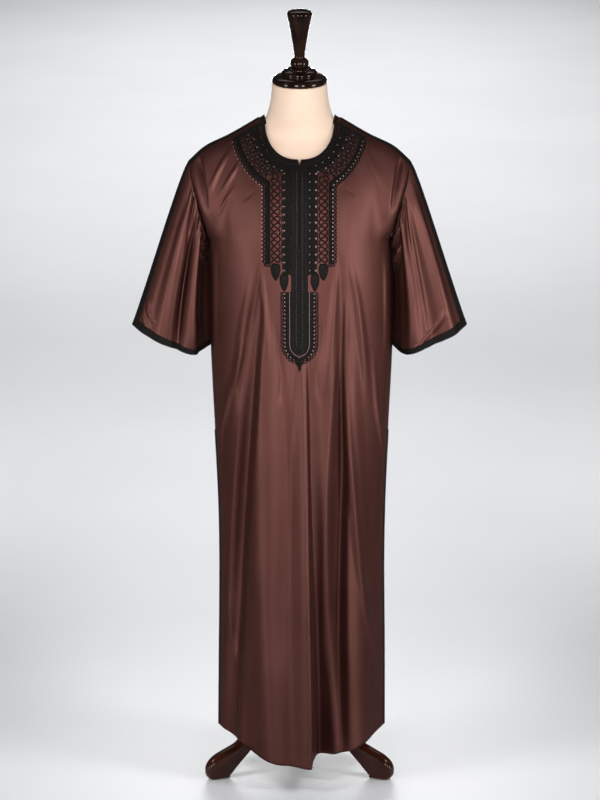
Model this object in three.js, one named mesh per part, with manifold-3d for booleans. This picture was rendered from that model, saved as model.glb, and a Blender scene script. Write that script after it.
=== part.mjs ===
// A men's short-sleeved satin jalabiya with black embroidery and braid, on a limbless dress form
// with a turned neck cap, a pole and three curved wooden legs.
// Millimetres, +Z up. The front faces -Y, the floor is Z = 0 and the origin is the floor point
// under the middle of the whole. u runs across a panel from its left to its right side seam.

import * as THREE from "three";
import { mergeVertices } from "three/addons/utils/BufferGeometryUtils.js";
import Module from "manifold-3d";

const wasm = await Module();
wasm.setup();

// Driving sizes of the cloth
const FRONT = 1;
const BACK = -1;
const LEFT = -1;
const RIGHT = 1;
const WALL = 1.6;
const SEAM_GAP = 0.3;
const ARMHOLE_GAP = 0.55;
const TRIM_LOW = 0.45;
const TRIM_HIGH = 1.7;
const SHOULDER_LAP = 0.02;
const ARMPIT_Z = 1187;
const HEM_SIDE_Z = 96;
const HEM_DIP = { [FRONT]: 41, [BACK]: 14 };
const HEM_ROUND = 1.4;

// Neckline: half width, height of the shoulder-neck point, and how far the ring drops and reaches
const NECK = { half: 76, z: 1457, power: 2.4 };
const NECK_RING = {
  [FRONT]: { drop: 92, reach: 86 },
  [BACK]: { drop: 26, reach: 68 },
};
const NECK_END_U = 0.5;
const NECK_BAND_WIDTH = 13;
// Column at which the shoulder braid begins, just outside the neck band
const NECK_BAND_U = 0.547;
const SHOULDER = [
  { x: 76, z: 1457 },
  { x: 150, z: 1415 },
  { x: 205, z: 1388 },
  { x: 240, z: 1357 },
];
const SHOULDER_TIP_X = 240;

// Sections of the body below the armholes; fullness 0.5 is an ellipse and 1 a parabola
const BODY = [
  { z: 40, half: 186, middle: 4, front: 200, back: 158, fullness: 0.85 },
  { z: 280, half: 184, middle: 5, front: 186, back: 150, fullness: 0.82 },
  { z: 474, half: 182, middle: 5, front: 172, back: 142, fullness: 0.78 },
  { z: 612, half: 184, middle: 5, front: 162, back: 134, fullness: 0.74 },
  { z: 770, half: 191, middle: 3, front: 152, back: 126, fullness: 0.7 },
  { z: 960, half: 199, middle: 3, front: 143, back: 118, fullness: 0.64 },
  { z: ARMPIT_Z, half: 200, middle: 0, front: 139, back: 116, fullness: 0.6 },
];

// Curves that roll over the chest: how they leave the armpit line and how they meet the upper edge,
// each as a pull outwards and upwards at the middle, and at the arm or the neck
const CHEST_LEAVES = { out: 2, up: 66, armOut: 52, armUp: 26, armSide: 4, armFrom: 0.78 };
const CHEST_MEETS = { out: 60, down: 10, neckOut: 40, neckDown: 40, armOut: 0.8, armDown: 26, back: 0.9 };
const NECK_SPAN = { from: 0.3, to: 0.62 };
const NECK_FAN = { side: 34, at: 0.46, inner: 0.46, outer: 0.34 };

// Largest folds: where the crest or trough runs, its widths to the left and right, its height
// outwards at both ends (a trough is negative) and how far the crest leans to the right
const FOLDS = {
  [FRONT]: [
    { topZ: 1070, topX: -92, endZ: 30, endX: -142, left: 38, right: 17, topRise: -4, endRise: -18, lean: 0 },
    { topZ: 1000, topX: -72, endZ: 30, endX: -62, left: 46, right: 60, topRise: 3, endRise: 30, lean: 0 },
    { topZ: 900, topX: 1, endZ: 30, endX: 11, left: 30, right: 20, topRise: 3, endRise: 26, lean: 13 },
    { topZ: 900, topX: 48, endZ: 30, endX: 50, left: 24, right: 56, topRise: -7, endRise: -86, lean: 0 },
    { topZ: 1080, topX: 90, endZ: 30, endX: 82, left: 26, right: 30, topRise: -6, endRise: -26, lean: 0 },
    { topZ: 980, topX: 94, endZ: 30, endX: 130, left: 26, right: 34, topRise: 5, endRise: 26, lean: 0 },
    { topZ: 700, topX: 140, endZ: 30, endX: 172, left: 14, right: 14, topRise: 2, endRise: 12, lean: 0 },
    { topZ: 1000, topX: -118, endZ: 700, endX: -172, left: 18, right: 14, topRise: 2, endRise: 9, lean: 0 },
  ],
  [BACK]: [
    { topZ: 1120, topX: -110, endZ: 30, endX: -128, left: 30, right: 34, topRise: 4, endRise: 26, lean: 0 },
    { topZ: 1060, topX: -58, endZ: 30, endX: -66, left: 28, right: 26, topRise: -4, endRise: -44, lean: 0 },
    { topZ: 1120, topX: 4, endZ: 30, endX: -6, left: 40, right: 38, topRise: 4, endRise: 36, lean: 0 },
    { topZ: 1000, topX: 58, endZ: 30, endX: 60, left: 26, right: 30, topRise: -4, endRise: -46, lean: 0 },
    { topZ: 1090, topX: 104, endZ: 30, endX: 122, left: 36, right: 30, topRise: 4, endRise: 28, lean: 0 },
  ],
};
const FOLD_EDGE_FADE = 0.14;
const FOLD_START = 0.22;
const FOLD_END = { from: 0.95, to: 1.2 };

// Sleeve: the ring of the cuff from its outer corner round the front or back to the inner corner
const CUFF = [
  { round: 0, x: 366, depth: 0, z: 998 },
  { round: 0.25, x: 337, depth: 32, z: 980 },
  { round: 0.5, x: 287, depth: 46, z: 957 },
  { round: 0.78, x: 233, depth: 38, z: 938 },
  { round: 1, x: 203, depth: 0, z: 955 },
];
const CUFF_BACK_LIFT = 5;
const SLEEVE_PULL = {
  armhole: { top: [20, 0, -30], middle: [14, -4, -50], under: [7, 0, -34] },
  cuff: { top: [-46, 0, 128], middle: [-14, -2, 120], under: [4, 0, 70] },
};
// Ridges along the sleeve: where round the ring, half width of it, height outwards, and their span
const SLEEVE_FOLDS = [
  { at: 0.3, width: 0.12, rise: 6, from: 0.12, to: 1 },
  { at: 0.56, width: 0.13, rise: -7, from: 0.05, to: 0.9 },
  { at: 0.76, width: 0.1, rise: 6, from: 0.2, to: 1 },
  { at: -0.45, width: 0.16, rise: 7, from: 0.15, to: 1 },
];

// Trims
const BRAID_HALF = 12;
const CUFF_BRAID = 13;
const SIDE_BRAID_TOP_Z = 765;
const SIDE_BRAID_U = 0.984;
const SLIT = { half: 1.1, bottomZ: 1180, notchHalf: 5, notchDrop: 9 };
const PLACKET = { half: 18, bottomZ: 965, roundZ: 992 };
const YOKE = [
  { x: 146, z: 1409 },
  { x: 147, z: 1392 },
  { x: 140, z: 1368 },
  { x: 121, z: 1345 },
  { x: 95, z: 1332 },
  { x: 81, z: 1320 },
  { x: 79, z: 1296 },
];
const YOKE_TOP = [
  { x: 60, z: 1455 },
  { x: 90, z: 1441 },
];
const COLUMN = { outer: 79, loopsEndZ: 1146, serpentineX: 60.5, bandX: 40, bandEndZ: 1122 };
const DROPS = [
  { name: "outer", x: 51, topZ: 1143, length: 33, half: 9.3 },
  { name: "inner", x: 33, topZ: 1121, length: 34, half: 8.6 },
];
const DROP_STEPS = 10;
const DROP_SHAPE = { top: 0.75, bottom: 0.45 };
const PLACKET_END = { half: 41, topZ: 1086, roundZ: 975, pointZ: 933, tipHalf: 5, tipZ: 916 };
// Part of a quarter turn that the lower sides of the U take before they meet in the point
const PLACKET_END_TURN = 0.86;

// Dress form: horizontal sections from the flat base to the slanted top of the neck
const TORSO = [
  { z: 835, half: 140, front: 86, back: 90, power: 2, slant: 0 },
  { z: 850, half: 150, front: 96, back: 98, power: 2, slant: 0 },
  { z: 940, half: 158, front: 106, back: 104, power: 2, slant: 0 },
  { z: 1060, half: 150, front: 104, back: 94, power: 2, slant: 0 },
  { z: 1187, half: 166, front: 122, back: 97, power: 2, slant: 0 },
  { z: 1280, half: 172, front: 114, back: 88, power: 2, slant: 0 },
  { z: 1345, half: 188, front: 86, back: 73, power: 2, slant: 0 },
  { z: 1378, half: 178, front: 69, back: 60, power: 2, slant: 0.03 },
  { z: 1408, half: 132, front: 55, back: 55, power: 1.5, slant: 0.06 },
  { z: 1432, half: 86, front: 56, back: 57, power: 1.55, slant: 0.1 },
  { z: 1444, half: 77, front: 57.5, back: 58, power: 1.7, slant: 0.12 },
  { z: 1458, half: 70.5, front: 60, back: 60, power: 2, slant: 0.14 },
  { z: 1490, half: 62.5, front: 58, back: 58, power: 2, slant: 0.18 },
  { z: 1525, half: 59.5, front: 58, back: 58, power: 2, slant: 0.2 },
];
const TORSO_SIDES = 28;

// Neck cap and finial, as radius and height over the slanted top of the neck
const CAP_TILT = 0.2;
const CAP_BASE_Z = 1525.5;
const CAP_PROFILE = [
  [0, 0], [58.5, 0], [60, 3], [60, 8], [57, 12.5], [50, 15], [39, 16.5], [39, 19],
  [37, 26], [30, 29], [26, 30], [26, 33], [0, 33],
];
const FINIAL_PROFILE = [
  [0, 33.3], [15, 33.3], [19, 38], [20.5, 44], [18.5, 50.5], [12.5, 55], [11.4, 58], [13, 72],
  [17.5, 100], [23, 128], [27.2, 148], [27.6, 152], [26, 155.5], [16, 159], [0, 160.5],
];

// Stand
const POLE = { radius: 16, topZ: 834.7 };
const HUB = { radius: 36, bottomZ: 118, topZ: 232 };
const HUB_PROFILE = [
  [0, HUB.bottomZ], [24, HUB.bottomZ], [33, HUB.bottomZ + 8], [HUB.radius, HUB.bottomZ + 20],
  [HUB.radius, HUB.topZ - 16], [30, HUB.topZ - 8], [20, HUB.topZ - 0.3], [0, HUB.topZ - 0.3],
];
const LEG = { thickness: 28, bevel: 7, heel: 184, rootTopZ: 222, rootBottomZ: 156 };
const LEG_UPPER_EDGE = [[60, 212], [86, 178], [114, 128], [140, 92], [164, 73], [190, 63], [213, 54], [229, 43]];
const LEG_TOE = [[237, 30], [238, 16], [234, 5], [226, 0]];
const LEG_LOWER_EDGE = [[172, 12], [156, 28], [138, 44], [112, 70], [90, 102], [64, 138]];
const LEG_AZIMUTHS = { left: -150, right: -30, rear: 90 };

// Steps of the surfaces, and how far a cutting outline reaches along Y
const FRONT_COLUMNS = 11;
const BACK_COLUMNS = 7;
const OUTER_COLUMNS = 7;
const LOWER_ROWS = 12;
const UPPER_ROWS = 8;
const SLEEVE_ROWS = 9;
const SLEEVE_LENGTH = 330;
const NECK_STEPS = 16;
const SURFACE_STEP = 0.003;
const PRISM_DEPTH = 400;
const PRISM_PAST_SEAM = 5;
const PRISM_TOP_Z = 1400;

const COLOURS = {
  satin: { color: 0x6b433d, roughness: 0.38, metalness: 0 },
  trim: { color: 0x1d1b1b, roughness: 0.75, metalness: 0 },
  cover: { color: 0xf1e1cf, roughness: 0.85, metalness: 0 },
  darkWood: { color: 0x1c0f0b, roughness: 0.22, metalness: 0 },
  wood: { color: 0x4c2314, roughness: 0.25, metalness: 0 },
};

const part = new THREE.Group();

// Numbers

const mix = (a, b, share) => a + (b - a) * share;
const clamp = (value, low, high) => Math.min(high, Math.max(low, value));

function ease(low, high, value) {
  const share = clamp((value - low) / (high - low), 0, 1);
  return share * share * (3 - 2 * share);
}

// One column of a table whose rows rise in another column, as a smooth curve through the rows
function smooth(rows, by, at, column) {
  const last = rows.length - 1;
  const x = clamp(at, rows[0][by], rows[last][by]);
  let i = 0;
  while (i < last - 1 && rows[i + 1][by] < x) i += 1;
  const slope = (k) => {
    const a = rows[Math.max(k - 1, 0)];
    const b = rows[Math.min(k + 1, last)];
    return (b[column] - a[column]) / (b[by] - a[by]);
  };
  const gap = rows[i + 1][by] - rows[i][by];
  const t = (x - rows[i][by]) / gap;
  return (
    rows[i][column] * (1 + 2 * t) * (1 - t) ** 2 +
    slope(i) * gap * t * (1 - t) ** 2 +
    rows[i + 1][column] * t * t * (3 - 2 * t) +
    slope(i + 1) * gap * t * t * (t - 1)
  );
}

function bezier(p0, p1, p2, p3, t) {
  return new THREE.CubicBezierCurve3(p0, p1, p2, p3).getPoint(t);
}

// The garment's surface

function bump(offset, left, right) {
  const share = Math.min(1, Math.abs(offset) / (offset < 0 ? left : right));
  return Math.cos((share * Math.PI) / 2) ** 2;
}

// Outward rise and sideways lean that the folds give at a place on a panel
function foldsAt(side, x, z, u) {
  const fade = ease(0, FOLD_EDGE_FADE, 1 - Math.abs(u));
  let rise = 0;
  let lean = 0;
  for (const fold of FOLDS[side]) {
    const share = (fold.topZ - z) / (fold.topZ - fold.endZ);
    if (share <= 0 || share > FOLD_END.to) continue;
    const across = bump(x - mix(fold.topX, fold.endX, share), fold.left, fold.right);
    const ends = ease(0, FOLD_START, share) * (1 - ease(FOLD_END.from, FOLD_END.to, share));
    const strength = across * fade * ends;
    rise += mix(fold.topRise, fold.endRise, share) * strength;
    lean += fold.lean * strength * share;
  }
  return { rise, lean };
}

function bodyPoint(side, u, z) {
  const across = smooth(BODY, "z", z, "half") * u;
  const fullness = smooth(BODY, "z", z, "fullness");
  const depth = smooth(BODY, "z", z, side === FRONT ? "front" : "back");
  const x = smooth(BODY, "z", z, "middle") + across;
  const { rise, lean } = foldsAt(side, x, z, u);
  const out = depth * Math.max(0, 1 - u * u) ** fullness + rise;
  return new THREE.Vector3(x + lean, -side * out, z);
}

function hemZ(side, u) {
  return HEM_SIDE_Z - HEM_DIP[side] * (1 - u * u) ** HEM_ROUND;
}

// Upper edge of a panel: the neckline between the shoulder-neck points, the shoulder seam outside
function topEdge(side, u) {
  const away = Math.abs(u);
  const hand = Math.sign(u);
  if (away > NECK_END_U) {
    const x = mix(NECK.half, SHOULDER_TIP_X, (away - NECK_END_U) / (1 - NECK_END_U));
    return new THREE.Vector3(hand * x, 0, smooth(SHOULDER, "x", x, "z"));
  }
  const angle = ((away / NECK_END_U) * Math.PI) / 2;
  const x = hand * NECK.half * Math.sin(angle) ** (2 / NECK.power);
  const low = Math.max(0, Math.cos(angle)) ** (2 / NECK.power);
  const ring = NECK_RING[side];
  return new THREE.Vector3(x, -side * ring.reach * low, NECK.z - ring.drop * low);
}

// Above the armpit each column is one curve, which rolls over the chest to the upper edge
function upperCurve(side, u) {
  const away = Math.abs(u);
  const hand = Math.sign(u);
  const low = bodyPoint(side, u, ARMPIT_Z);
  const top = topEdge(side, u);
  const [leaves, meets] = [CHEST_LEAVES, CHEST_MEETS];
  const nearArm = ease(leaves.armFrom, 1, away);
  const nearNeck = 1 - ease(NECK_SPAN.from, NECK_SPAN.to, away);
  const full = side === FRONT ? 1 : meets.back;
  const lowPull = new THREE.Vector3(
    hand * nearArm * leaves.armSide,
    -side * mix(leaves.out, leaves.armOut, nearArm),
    mix(leaves.up, leaves.armUp, nearArm),
  );
  const topPull = new THREE.Vector3(
    hand * NECK_FAN.side * bump(away - NECK_FAN.at, NECK_FAN.inner, NECK_FAN.outer),
    -side * full * mix(meets.out, meets.neckOut, nearNeck) * mix(1, meets.armOut, nearArm),
    -mix(meets.down, meets.neckDown, nearNeck) - meets.armDown * nearArm,
  );
  return [low, low.clone().add(lowPull), top.clone().add(topPull), top];
}

// t runs from the hem (0) to the armpit (1) and on to the upper edge (2)
function panelPoint(side, u, t) {
  if (t < 1) return bodyPoint(side, u, mix(hemZ(side, u), ARMPIT_Z, t));
  return bezier(...upperCurve(side, u), t - 1);
}

// On the sleeve, round is 0 on the top line, 1 under the arm by the front and -1 by the back
function sleevePull(end, amount, side) {
  const { top, middle, under } = SLEEVE_PULL[end];
  const turn = amount * Math.PI;
  const value = (k) => {
    const even = (top[k] + under[k]) / 2;
    return even + ((top[k] - under[k]) / 2) * Math.cos(turn) + (middle[k] - even) * Math.sin(turn);
  };
  return new THREE.Vector3(value(0), side * value(1), value(2));
}

function cuffPoint(amount, side) {
  const lift = side === BACK ? CUFF_BACK_LIFT * Math.sin(amount * Math.PI) : 0;
  return new THREE.Vector3(
    smooth(CUFF, "round", amount, "x"),
    -side * smooth(CUFF, "round", amount, "depth"),
    smooth(CUFF, "round", amount, "z") + lift,
  );
}

// The sleeve's smooth form on the right side; share runs from the armhole (0) to the cuff (1)
function sleeveForm(round, share) {
  const wrapped = round > 1 ? round - 2 : round < -1 ? round + 2 : round;
  const side = wrapped < 0 ? BACK : FRONT;
  const amount = Math.abs(wrapped);
  const start = bezier(...upperCurve(side, 1), 1 - amount);
  const end = cuffPoint(amount, side);
  const startPull = start.clone().add(sleevePull("armhole", amount, side));
  const endPull = end.clone().add(sleevePull("cuff", amount, side));
  return bezier(start, startPull, endPull, end, share);
}

function sleevePoint(round, share) {
  const point = sleeveForm(round, share);
  let rise = 0;
  for (const fold of SLEEVE_FOLDS) {
    const span = ease(fold.from, fold.from + 0.25, share) * (1 - ease(fold.to, fold.to + 0.15, share));
    rise += fold.rise * span * bump(round - fold.at, fold.width, fold.width);
  }
  return rise === 0 ? point : point.addScaledVector(crossOf(sleeveForm, round, share, 9), rise);
}

// Outward direction of a surface given by two numbers; the second stays between 0 and its limit
function crossOf(surface, a, b, limit, aLow = -9, aHigh = 9) {
  const step = SURFACE_STEP;
  const along = (p, q) => surface(...q).sub(surface(...p));
  const across = along([Math.max(aLow, a - step), b], [Math.min(aHigh, a + step), b]);
  const up = along([a, Math.max(0, b - step)], [a, Math.min(limit, b + step)]);
  return across.cross(up).normalize();
}

// Round the armhole the panels and the sleeve share one direction, so that their walls end face to face
function armholeNormal(side, t) {
  const normal = plainPanelNormal(side, 1, t).add(crossOf(sleevePoint, side * (2 - t), 0, 1));
  if (t < 1.0001 || t > 1.9999) normal.y = 0;
  return normal.normalize();
}

function sleeveNormal(round, share) {
  if (share > 0.02) return crossOf(sleevePoint, round, share, 1);
  return armholeNormal(round < 0 ? BACK : FRONT, 2 - Math.abs(round));
}

function plainPanelNormal(side, u, t) {
  const surface = (a, b) => panelPoint(side, a, b);
  const atCorner = Math.abs(Math.abs(u) - NECK_END_U) < 0.01 && t > 1.9;
  const beside = atCorner ? Math.sign(u) * (NECK_END_U + 0.01) : u;
  return crossOf(surface, beside, t, 2, -1, 1).multiplyScalar(side);
}

// On the side and shoulder seams too the front and the back share one direction
function panelNormal(side, u, t) {
  const atEdge = Math.abs(u) > 0.9999;
  if (atEdge && t >= 1) {
    const shared = armholeNormal(side, t);
    shared.x *= Math.sign(u);
    return shared;
  }
  const normal = plainPanelNormal(side, u, t);
  if (atEdge || (t > 1.9999 && Math.abs(u) >= NECK_END_U)) normal.y = 0;
  return normal.normalize();
}

// Solids

function signedVolume(positions, faces) {
  const corner = (i) => new THREE.Vector3().fromArray(positions, faces[i] * 3);
  let sum = 0;
  for (let i = 0; i < faces.length; i += 3) {
    sum += corner(i).dot(corner(i + 1).cross(corner(i + 2)));
  }
  return sum;
}

function facesOut(positions, faces) {
  if (signedVolume(positions, faces) < 0) {
    for (let i = 0; i < faces.length; i += 3) {
      [faces[i], faces[i + 1]] = [faces[i + 1], faces[i]];
    }
  }
  const geometry = new THREE.BufferGeometry();
  geometry.setAttribute("position", new THREE.Float32BufferAttribute(positions, 3));
  geometry.setIndex(faces);
  return geometry;
}

// A wall between two levels over rows of places, each with a point and a normal; flipped says
// which of its quads are split along the other diagonal
function wall(rows, low, high, { closedRound = false, flipped = () => false } = {}) {
  const height = rows.length;
  const width = rows[0].length;
  const positions = [];
  for (const level of [high, low]) {
    for (const row of rows) {
      for (const { point, normal } of row) {
        positions.push(...point.clone().addScaledVector(normal, level).toArray());
      }
    }
  }
  const faces = [];
  const id = (layer, r, c) => (layer * height + r) * width + (c % width);
  const quad = (a, b, c, d, other = false) => {
    if (other) faces.push(b, c, d, b, d, a);
    else faces.push(a, b, c, a, c, d);
  };
  const across = closedRound ? width : width - 1;
  for (let c = 0; c < across; c += 1) {
    for (let r = 0; r < height - 1; r += 1) {
      const other = flipped(r, c);
      quad(id(0, r, c), id(0, r, c + 1), id(0, r + 1, c + 1), id(0, r + 1, c), other);
      quad(id(1, r, c), id(1, r + 1, c), id(1, r + 1, c + 1), id(1, r, c + 1), other);
    }
    quad(id(1, 0, c), id(1, 0, c + 1), id(0, 0, c + 1), id(0, 0, c));
    quad(id(0, height - 1, c), id(0, height - 1, c + 1), id(1, height - 1, c + 1), id(1, height - 1, c));
  }
  for (let r = 0; r < height - 1 && !closedRound; r += 1) {
    quad(id(0, r, 0), id(0, r + 1, 0), id(1, r + 1, 0), id(1, r, 0));
    quad(id(0, r, width - 1), id(1, r, width - 1), id(1, r + 1, width - 1), id(0, r + 1, width - 1));
  }
  return facesOut(positions, faces);
}

function toSolid(geometry) {
  const plain = geometry.clone();
  plain.deleteAttribute("normal");
  plain.deleteAttribute("uv");
  const merged = mergeVertices(plain, 1e-4);
  return new wasm.Manifold(
    new wasm.Mesh({
      numProp: 3,
      vertProperties: new Float32Array(merged.attributes.position.array),
      triVerts: new Uint32Array(merged.index.array),
    }),
  );
}

function fromSolid(solid) {
  const mesh = solid.getMesh();
  const geometry = new THREE.BufferGeometry();
  geometry.setAttribute("position", new THREE.BufferAttribute(new Float32Array(mesh.vertProperties), 3));
  geometry.setIndex([...mesh.triVerts]);
  return geometry;
}

// A prism along Y over an outline of [x, z] points, in front of or behind the shoulder seam
function prism(outline, side) {
  const shape = new THREE.Shape(outline.map(([x, z]) => new THREE.Vector2(x, z)));
  const geometry = new THREE.ExtrudeGeometry(shape, { depth: PRISM_DEPTH, bevelEnabled: false });
  geometry.rotateX(Math.PI / 2);
  geometry.translate(0, side === FRONT ? PRISM_PAST_SEAM : PRISM_DEPTH - PRISM_PAST_SEAM, 0);
  return toSolid(geometry);
}

function add(name, geometry, look, place = {}) {
  const mesh = new THREE.Mesh(geometry, new THREE.MeshStandardMaterial(COLOURS[look]));
  mesh.name = name;
  if (place.y) mesh.position.y = place.y;
  if (place.z) mesh.position.z = place.z;
  if (place.turnX) mesh.rotation.x = place.turnX;
  if (place.turnZ) mesh.rotation.z = place.turnZ;
  part.add(mesh);
}

// Rows and columns of the panels

function columnPlaces(count, from = -1, to = 1) {
  const places = [from];
  for (let i = 1; i < count; i += 1) places.push(mix(from, to, i / count));
  return [...places, to];
}

// Columns of one half: the inner ones go with the neckline, the outer ones are alike front and back
function panelColumns(innerCount) {
  const inner = columnPlaces(innerCount, 0, NECK_END_U).slice(1);
  const outer = columnPlaces(OUTER_COLUMNS, NECK_BAND_U, SIDE_BRAID_U);
  const half = [...inner, ...outer, 1];
  return [...half.map((u) => -u).reverse(), 0, ...half];
}

// Share of a column at which a band along the upper edge begins
function bandStart(side, u, band) {
  const [, , pull, top] = upperCurve(side, u);
  return 1 - band / (3 * top.distanceTo(pull));
}

function upperPlaces(side, u) {
  const start = bandStart(side, u, BRAID_HALF);
  return [...columnPlaces(UPPER_ROWS, 0, start), 1];
}

function panelPlace(side, u, t) {
  return { point: panelPoint(side, u, t), normal: panelNormal(side, u, t) };
}

const lowerPlaces = columnPlaces(LOWER_ROWS, 0, 1).slice(0, -1);

function panelRows(side, columns) {
  const rows = lowerPlaces.map((t) => columns.map((u) => panelPlace(side, u, t)));
  for (let j = 0; j <= UPPER_ROWS + 1; j += 1) {
    rows.push(columns.map((u) => panelPlace(side, u, 1 + upperPlaces(side, u)[j])));
  }
  return rows;
}

const frontRows = panelRows(FRONT, panelColumns(FRONT_COLUMNS));
const backRows = panelRows(BACK, panelColumns(BACK_COLUMNS));

// Front and back panels, the front with the slit of the neck opening

function slitOutline() {
  const top = NECK.z - NECK_RING[FRONT].drop;
  return [
    [-SLIT.half, SLIT.bottomZ],
    [SLIT.half, SLIT.bottomZ],
    [SLIT.half, top - SLIT.notchDrop],
    [SLIT.notchHalf, top + 2],
    [SLIT.notchHalf, top + 30],
    [-SLIT.notchHalf, top + 30],
    [-SLIT.notchHalf, top + 2],
    [-SLIT.half, top - SLIT.notchDrop],
  ];
}

const slit = prism(slitOutline(), FRONT);
add("front_panel", fromSolid(toSolid(wall(frontRows, -WALL, 0)).subtract(slit)), "satin", {
  y: -SEAM_GAP / 2,
});
add("back_panel", wall(backRows, -WALL, 0), "satin", { y: SEAM_GAP / 2 });

// Sleeves

function sleeveParts() {
  const half = upperPlaces(FRONT, 1).map((t) => 1 - t);
  const front = half.slice().reverse();
  const back = upperPlaces(BACK, 1).map((t) => t - 1).slice(1, -1);
  return [...front, ...back];
}

function sleeveShares() {
  return [...columnPlaces(SLEEVE_ROWS, 0, 1 - CUFF_BRAID / SLEEVE_LENGTH), 1];
}

// Share at which the sleeve's own edge stands off the armhole
function sleeveStart(amount) {
  const side = amount < 0 ? BACK : FRONT;
  return ARMHOLE_GAP / (3 * sleevePull("armhole", Math.abs(amount), side).length());
}

function sleevePlace(hand, amount, share) {
  const point = sleevePoint(amount, share);
  const normal = sleeveNormal(amount, share);
  point.x *= hand;
  normal.x *= hand;
  return { point, normal };
}

for (const [word, hand] of [["left", LEFT], ["right", RIGHT]]) {
  const place = (amount, share) => sleevePlace(hand, amount, Math.max(share, sleeveStart(amount)));
  const rows = sleeveShares().map((share) => sleeveParts().map((amount) => place(amount, share)));
  add(`${word}_sleeve`, wall(rows, -WALL, 0, { closedRound: true }), "satin");
  add(`${word}_cuff_braid`, wall(rows.slice(-2), TRIM_LOW, TRIM_HIGH, { closedRound: true }), "trim");
}

// Braid over the shoulder seam and down the sleeve's top line

// On the panels its quads are split as theirs are on this hand, and on the sleeve as the sleeve's are
const splitLikePanels = (hand) => (r, c) => (c === 0) === (hand === LEFT);

function shoulderBraid(hand) {
  const columns = panelColumns(FRONT_COLUMNS).filter((u) => u > NECK_BAND_U - 0.001);
  const rows = columns.map((u) => {
    const at = u * hand;
    const edge = (side) => panelPlace(side, at, 1 + bandStart(side, at, BRAID_HALF));
    return [edge(FRONT), panelPlace(FRONT, at, 2), edge(BACK)];
  });
  const reach = [FRONT, BACK].map((side) => 1 - bandStart(side, 1, BRAID_HALF));
  const shares = sleeveShares().slice(1, -1);
  shares[shares.length - 1] -= SEAM_GAP / SLEEVE_LENGTH;
  for (const share of shares) {
    const place = (amount) => sleevePlace(hand, amount, share);
    rows.push([place(reach[0]), place(0), place(-reach[1])]);
  }
  const onPanels = splitLikePanels(hand);
  const flipped = (r, c) => r >= columns.length - 1 || onPanels(r, c);
  return wall(rows, TRIM_LOW, TRIM_HIGH, { flipped });
}

add("left_shoulder_braid", shoulderBraid(LEFT), "trim");
add("right_shoulder_braid", shoulderBraid(RIGHT), "trim");

// Braid over the lower side seams

function sideBraid(hand) {
  const span = lowerPlaces.filter((t) => mix(HEM_SIDE_Z, ARMPIT_Z, t) < SIDE_BRAID_TOP_Z);
  const rows = span.map((t) => [
    panelPlace(FRONT, hand * SIDE_BRAID_U, t),
    panelPlace(FRONT, hand, t),
    panelPlace(BACK, hand * SIDE_BRAID_U, t),
  ]);
  return wall(rows, TRIM_LOW, TRIM_HIGH, { flipped: splitLikePanels(hand) });
}

add("left_side_braid", sideBraid(LEFT), "trim");
add("right_side_braid", sideBraid(RIGHT), "trim");

// Neck band, placket and embroidery, cut from a thin layer that follows the panels' points

// The back layer laps the front one by a hair at the shoulder, so that the neck band joins there
const trimLayer = (rows, lap) => toSolid(wall(rows, TRIM_LOW, TRIM_HIGH).translate(0, -lap, 0));
const frontLayer = trimLayer(frontRows, 0);
const backLayer = trimLayer(backRows, SHOULDER_LAP);

// Points of a ring that lies a given distance outside the neckline, as seen from the front
function neckOutline(side, outside) {
  const points = [];
  for (let i = 0; i <= NECK_STEPS; i += 1) {
    const u = mix(-NECK_END_U, NECK_END_U, i / NECK_STEPS);
    const a = topEdge(side, clamp(u - 0.004, -NECK_END_U, NECK_END_U));
    const b = topEdge(side, clamp(u + 0.004, -NECK_END_U, NECK_END_U));
    const tangent = new THREE.Vector2(b.x - a.x, b.z - a.z).normalize();
    const at = topEdge(side, u);
    points.push([at.x + tangent.y * outside, at.z - tangent.x * outside]);
  }
  const [first, last] = [points[0], points[NECK_STEPS]];
  const above = NECK.z + 60;
  return [[first[0], above], ...points, [last[0], above]];
}

function neckBand() {
  const half = (layer, side) => {
    return layer.intersect(prism(neckOutline(side, NECK_BAND_WIDTH), side));
  };
  return half(frontLayer, FRONT).subtract(slit).add(half(backLayer, BACK));
}

add("neck_band", fromSolid(neckBand()), "trim");

const bandOpening = prism(neckOutline(FRONT, NECK_BAND_WIDTH + SEAM_GAP), FRONT);

// Placket strip over the slit, with a round lower end
function placketOutline(grow) {
  const { half, bottomZ, roundZ } = PLACKET;
  const points = [[half + grow, PRISM_TOP_Z], [-half - grow, PRISM_TOP_Z]];
  const steps = 8;
  for (let i = 0; i <= steps; i += 1) {
    const angle = Math.PI + (i / steps) * Math.PI;
    points.push([(half + grow) * Math.cos(angle), roundZ + (roundZ - bottomZ + grow) * Math.sin(angle)]);
  }
  return points;
}

const placket = prism(placketOutline(0), FRONT).subtract(bandOpening).subtract(slit);
add("placket", fromSolid(frontLayer.intersect(placket)), "trim");
const placketOpening = prism(placketOutline(SEAM_GAP), FRONT);

// Embroidered yoke with the columns that hang from it beside the placket
function yokeOutline(hand) {
  const { outer, loopsEndZ, serpentineX, bandX, bandEndZ } = COLUMN;
  const points = [
    [1, PRISM_TOP_Z],
    ...YOKE_TOP.map(({ x, z }) => [x, z]),
    ...YOKE.map(({ x, z }) => [x, z]),
    [outer, loopsEndZ],
    [serpentineX, loopsEndZ],
    [bandX, loopsEndZ - 2],
    [bandX, bandEndZ],
    [1, bandEndZ],
  ];
  return points.map(([x, z]) => [hand * x, z]);
}

function yoke(hand) {
  const outline = yokeOutline(hand);
  const points = hand === RIGHT ? outline.reverse() : outline;
  return prism(points, FRONT).subtract(bandOpening).subtract(placketOpening);
}

add("left_yoke", fromSolid(frontLayer.intersect(yoke(LEFT))), "trim");
add("right_yoke", fromSolid(frontLayer.intersect(yoke(RIGHT))), "trim");

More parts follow.
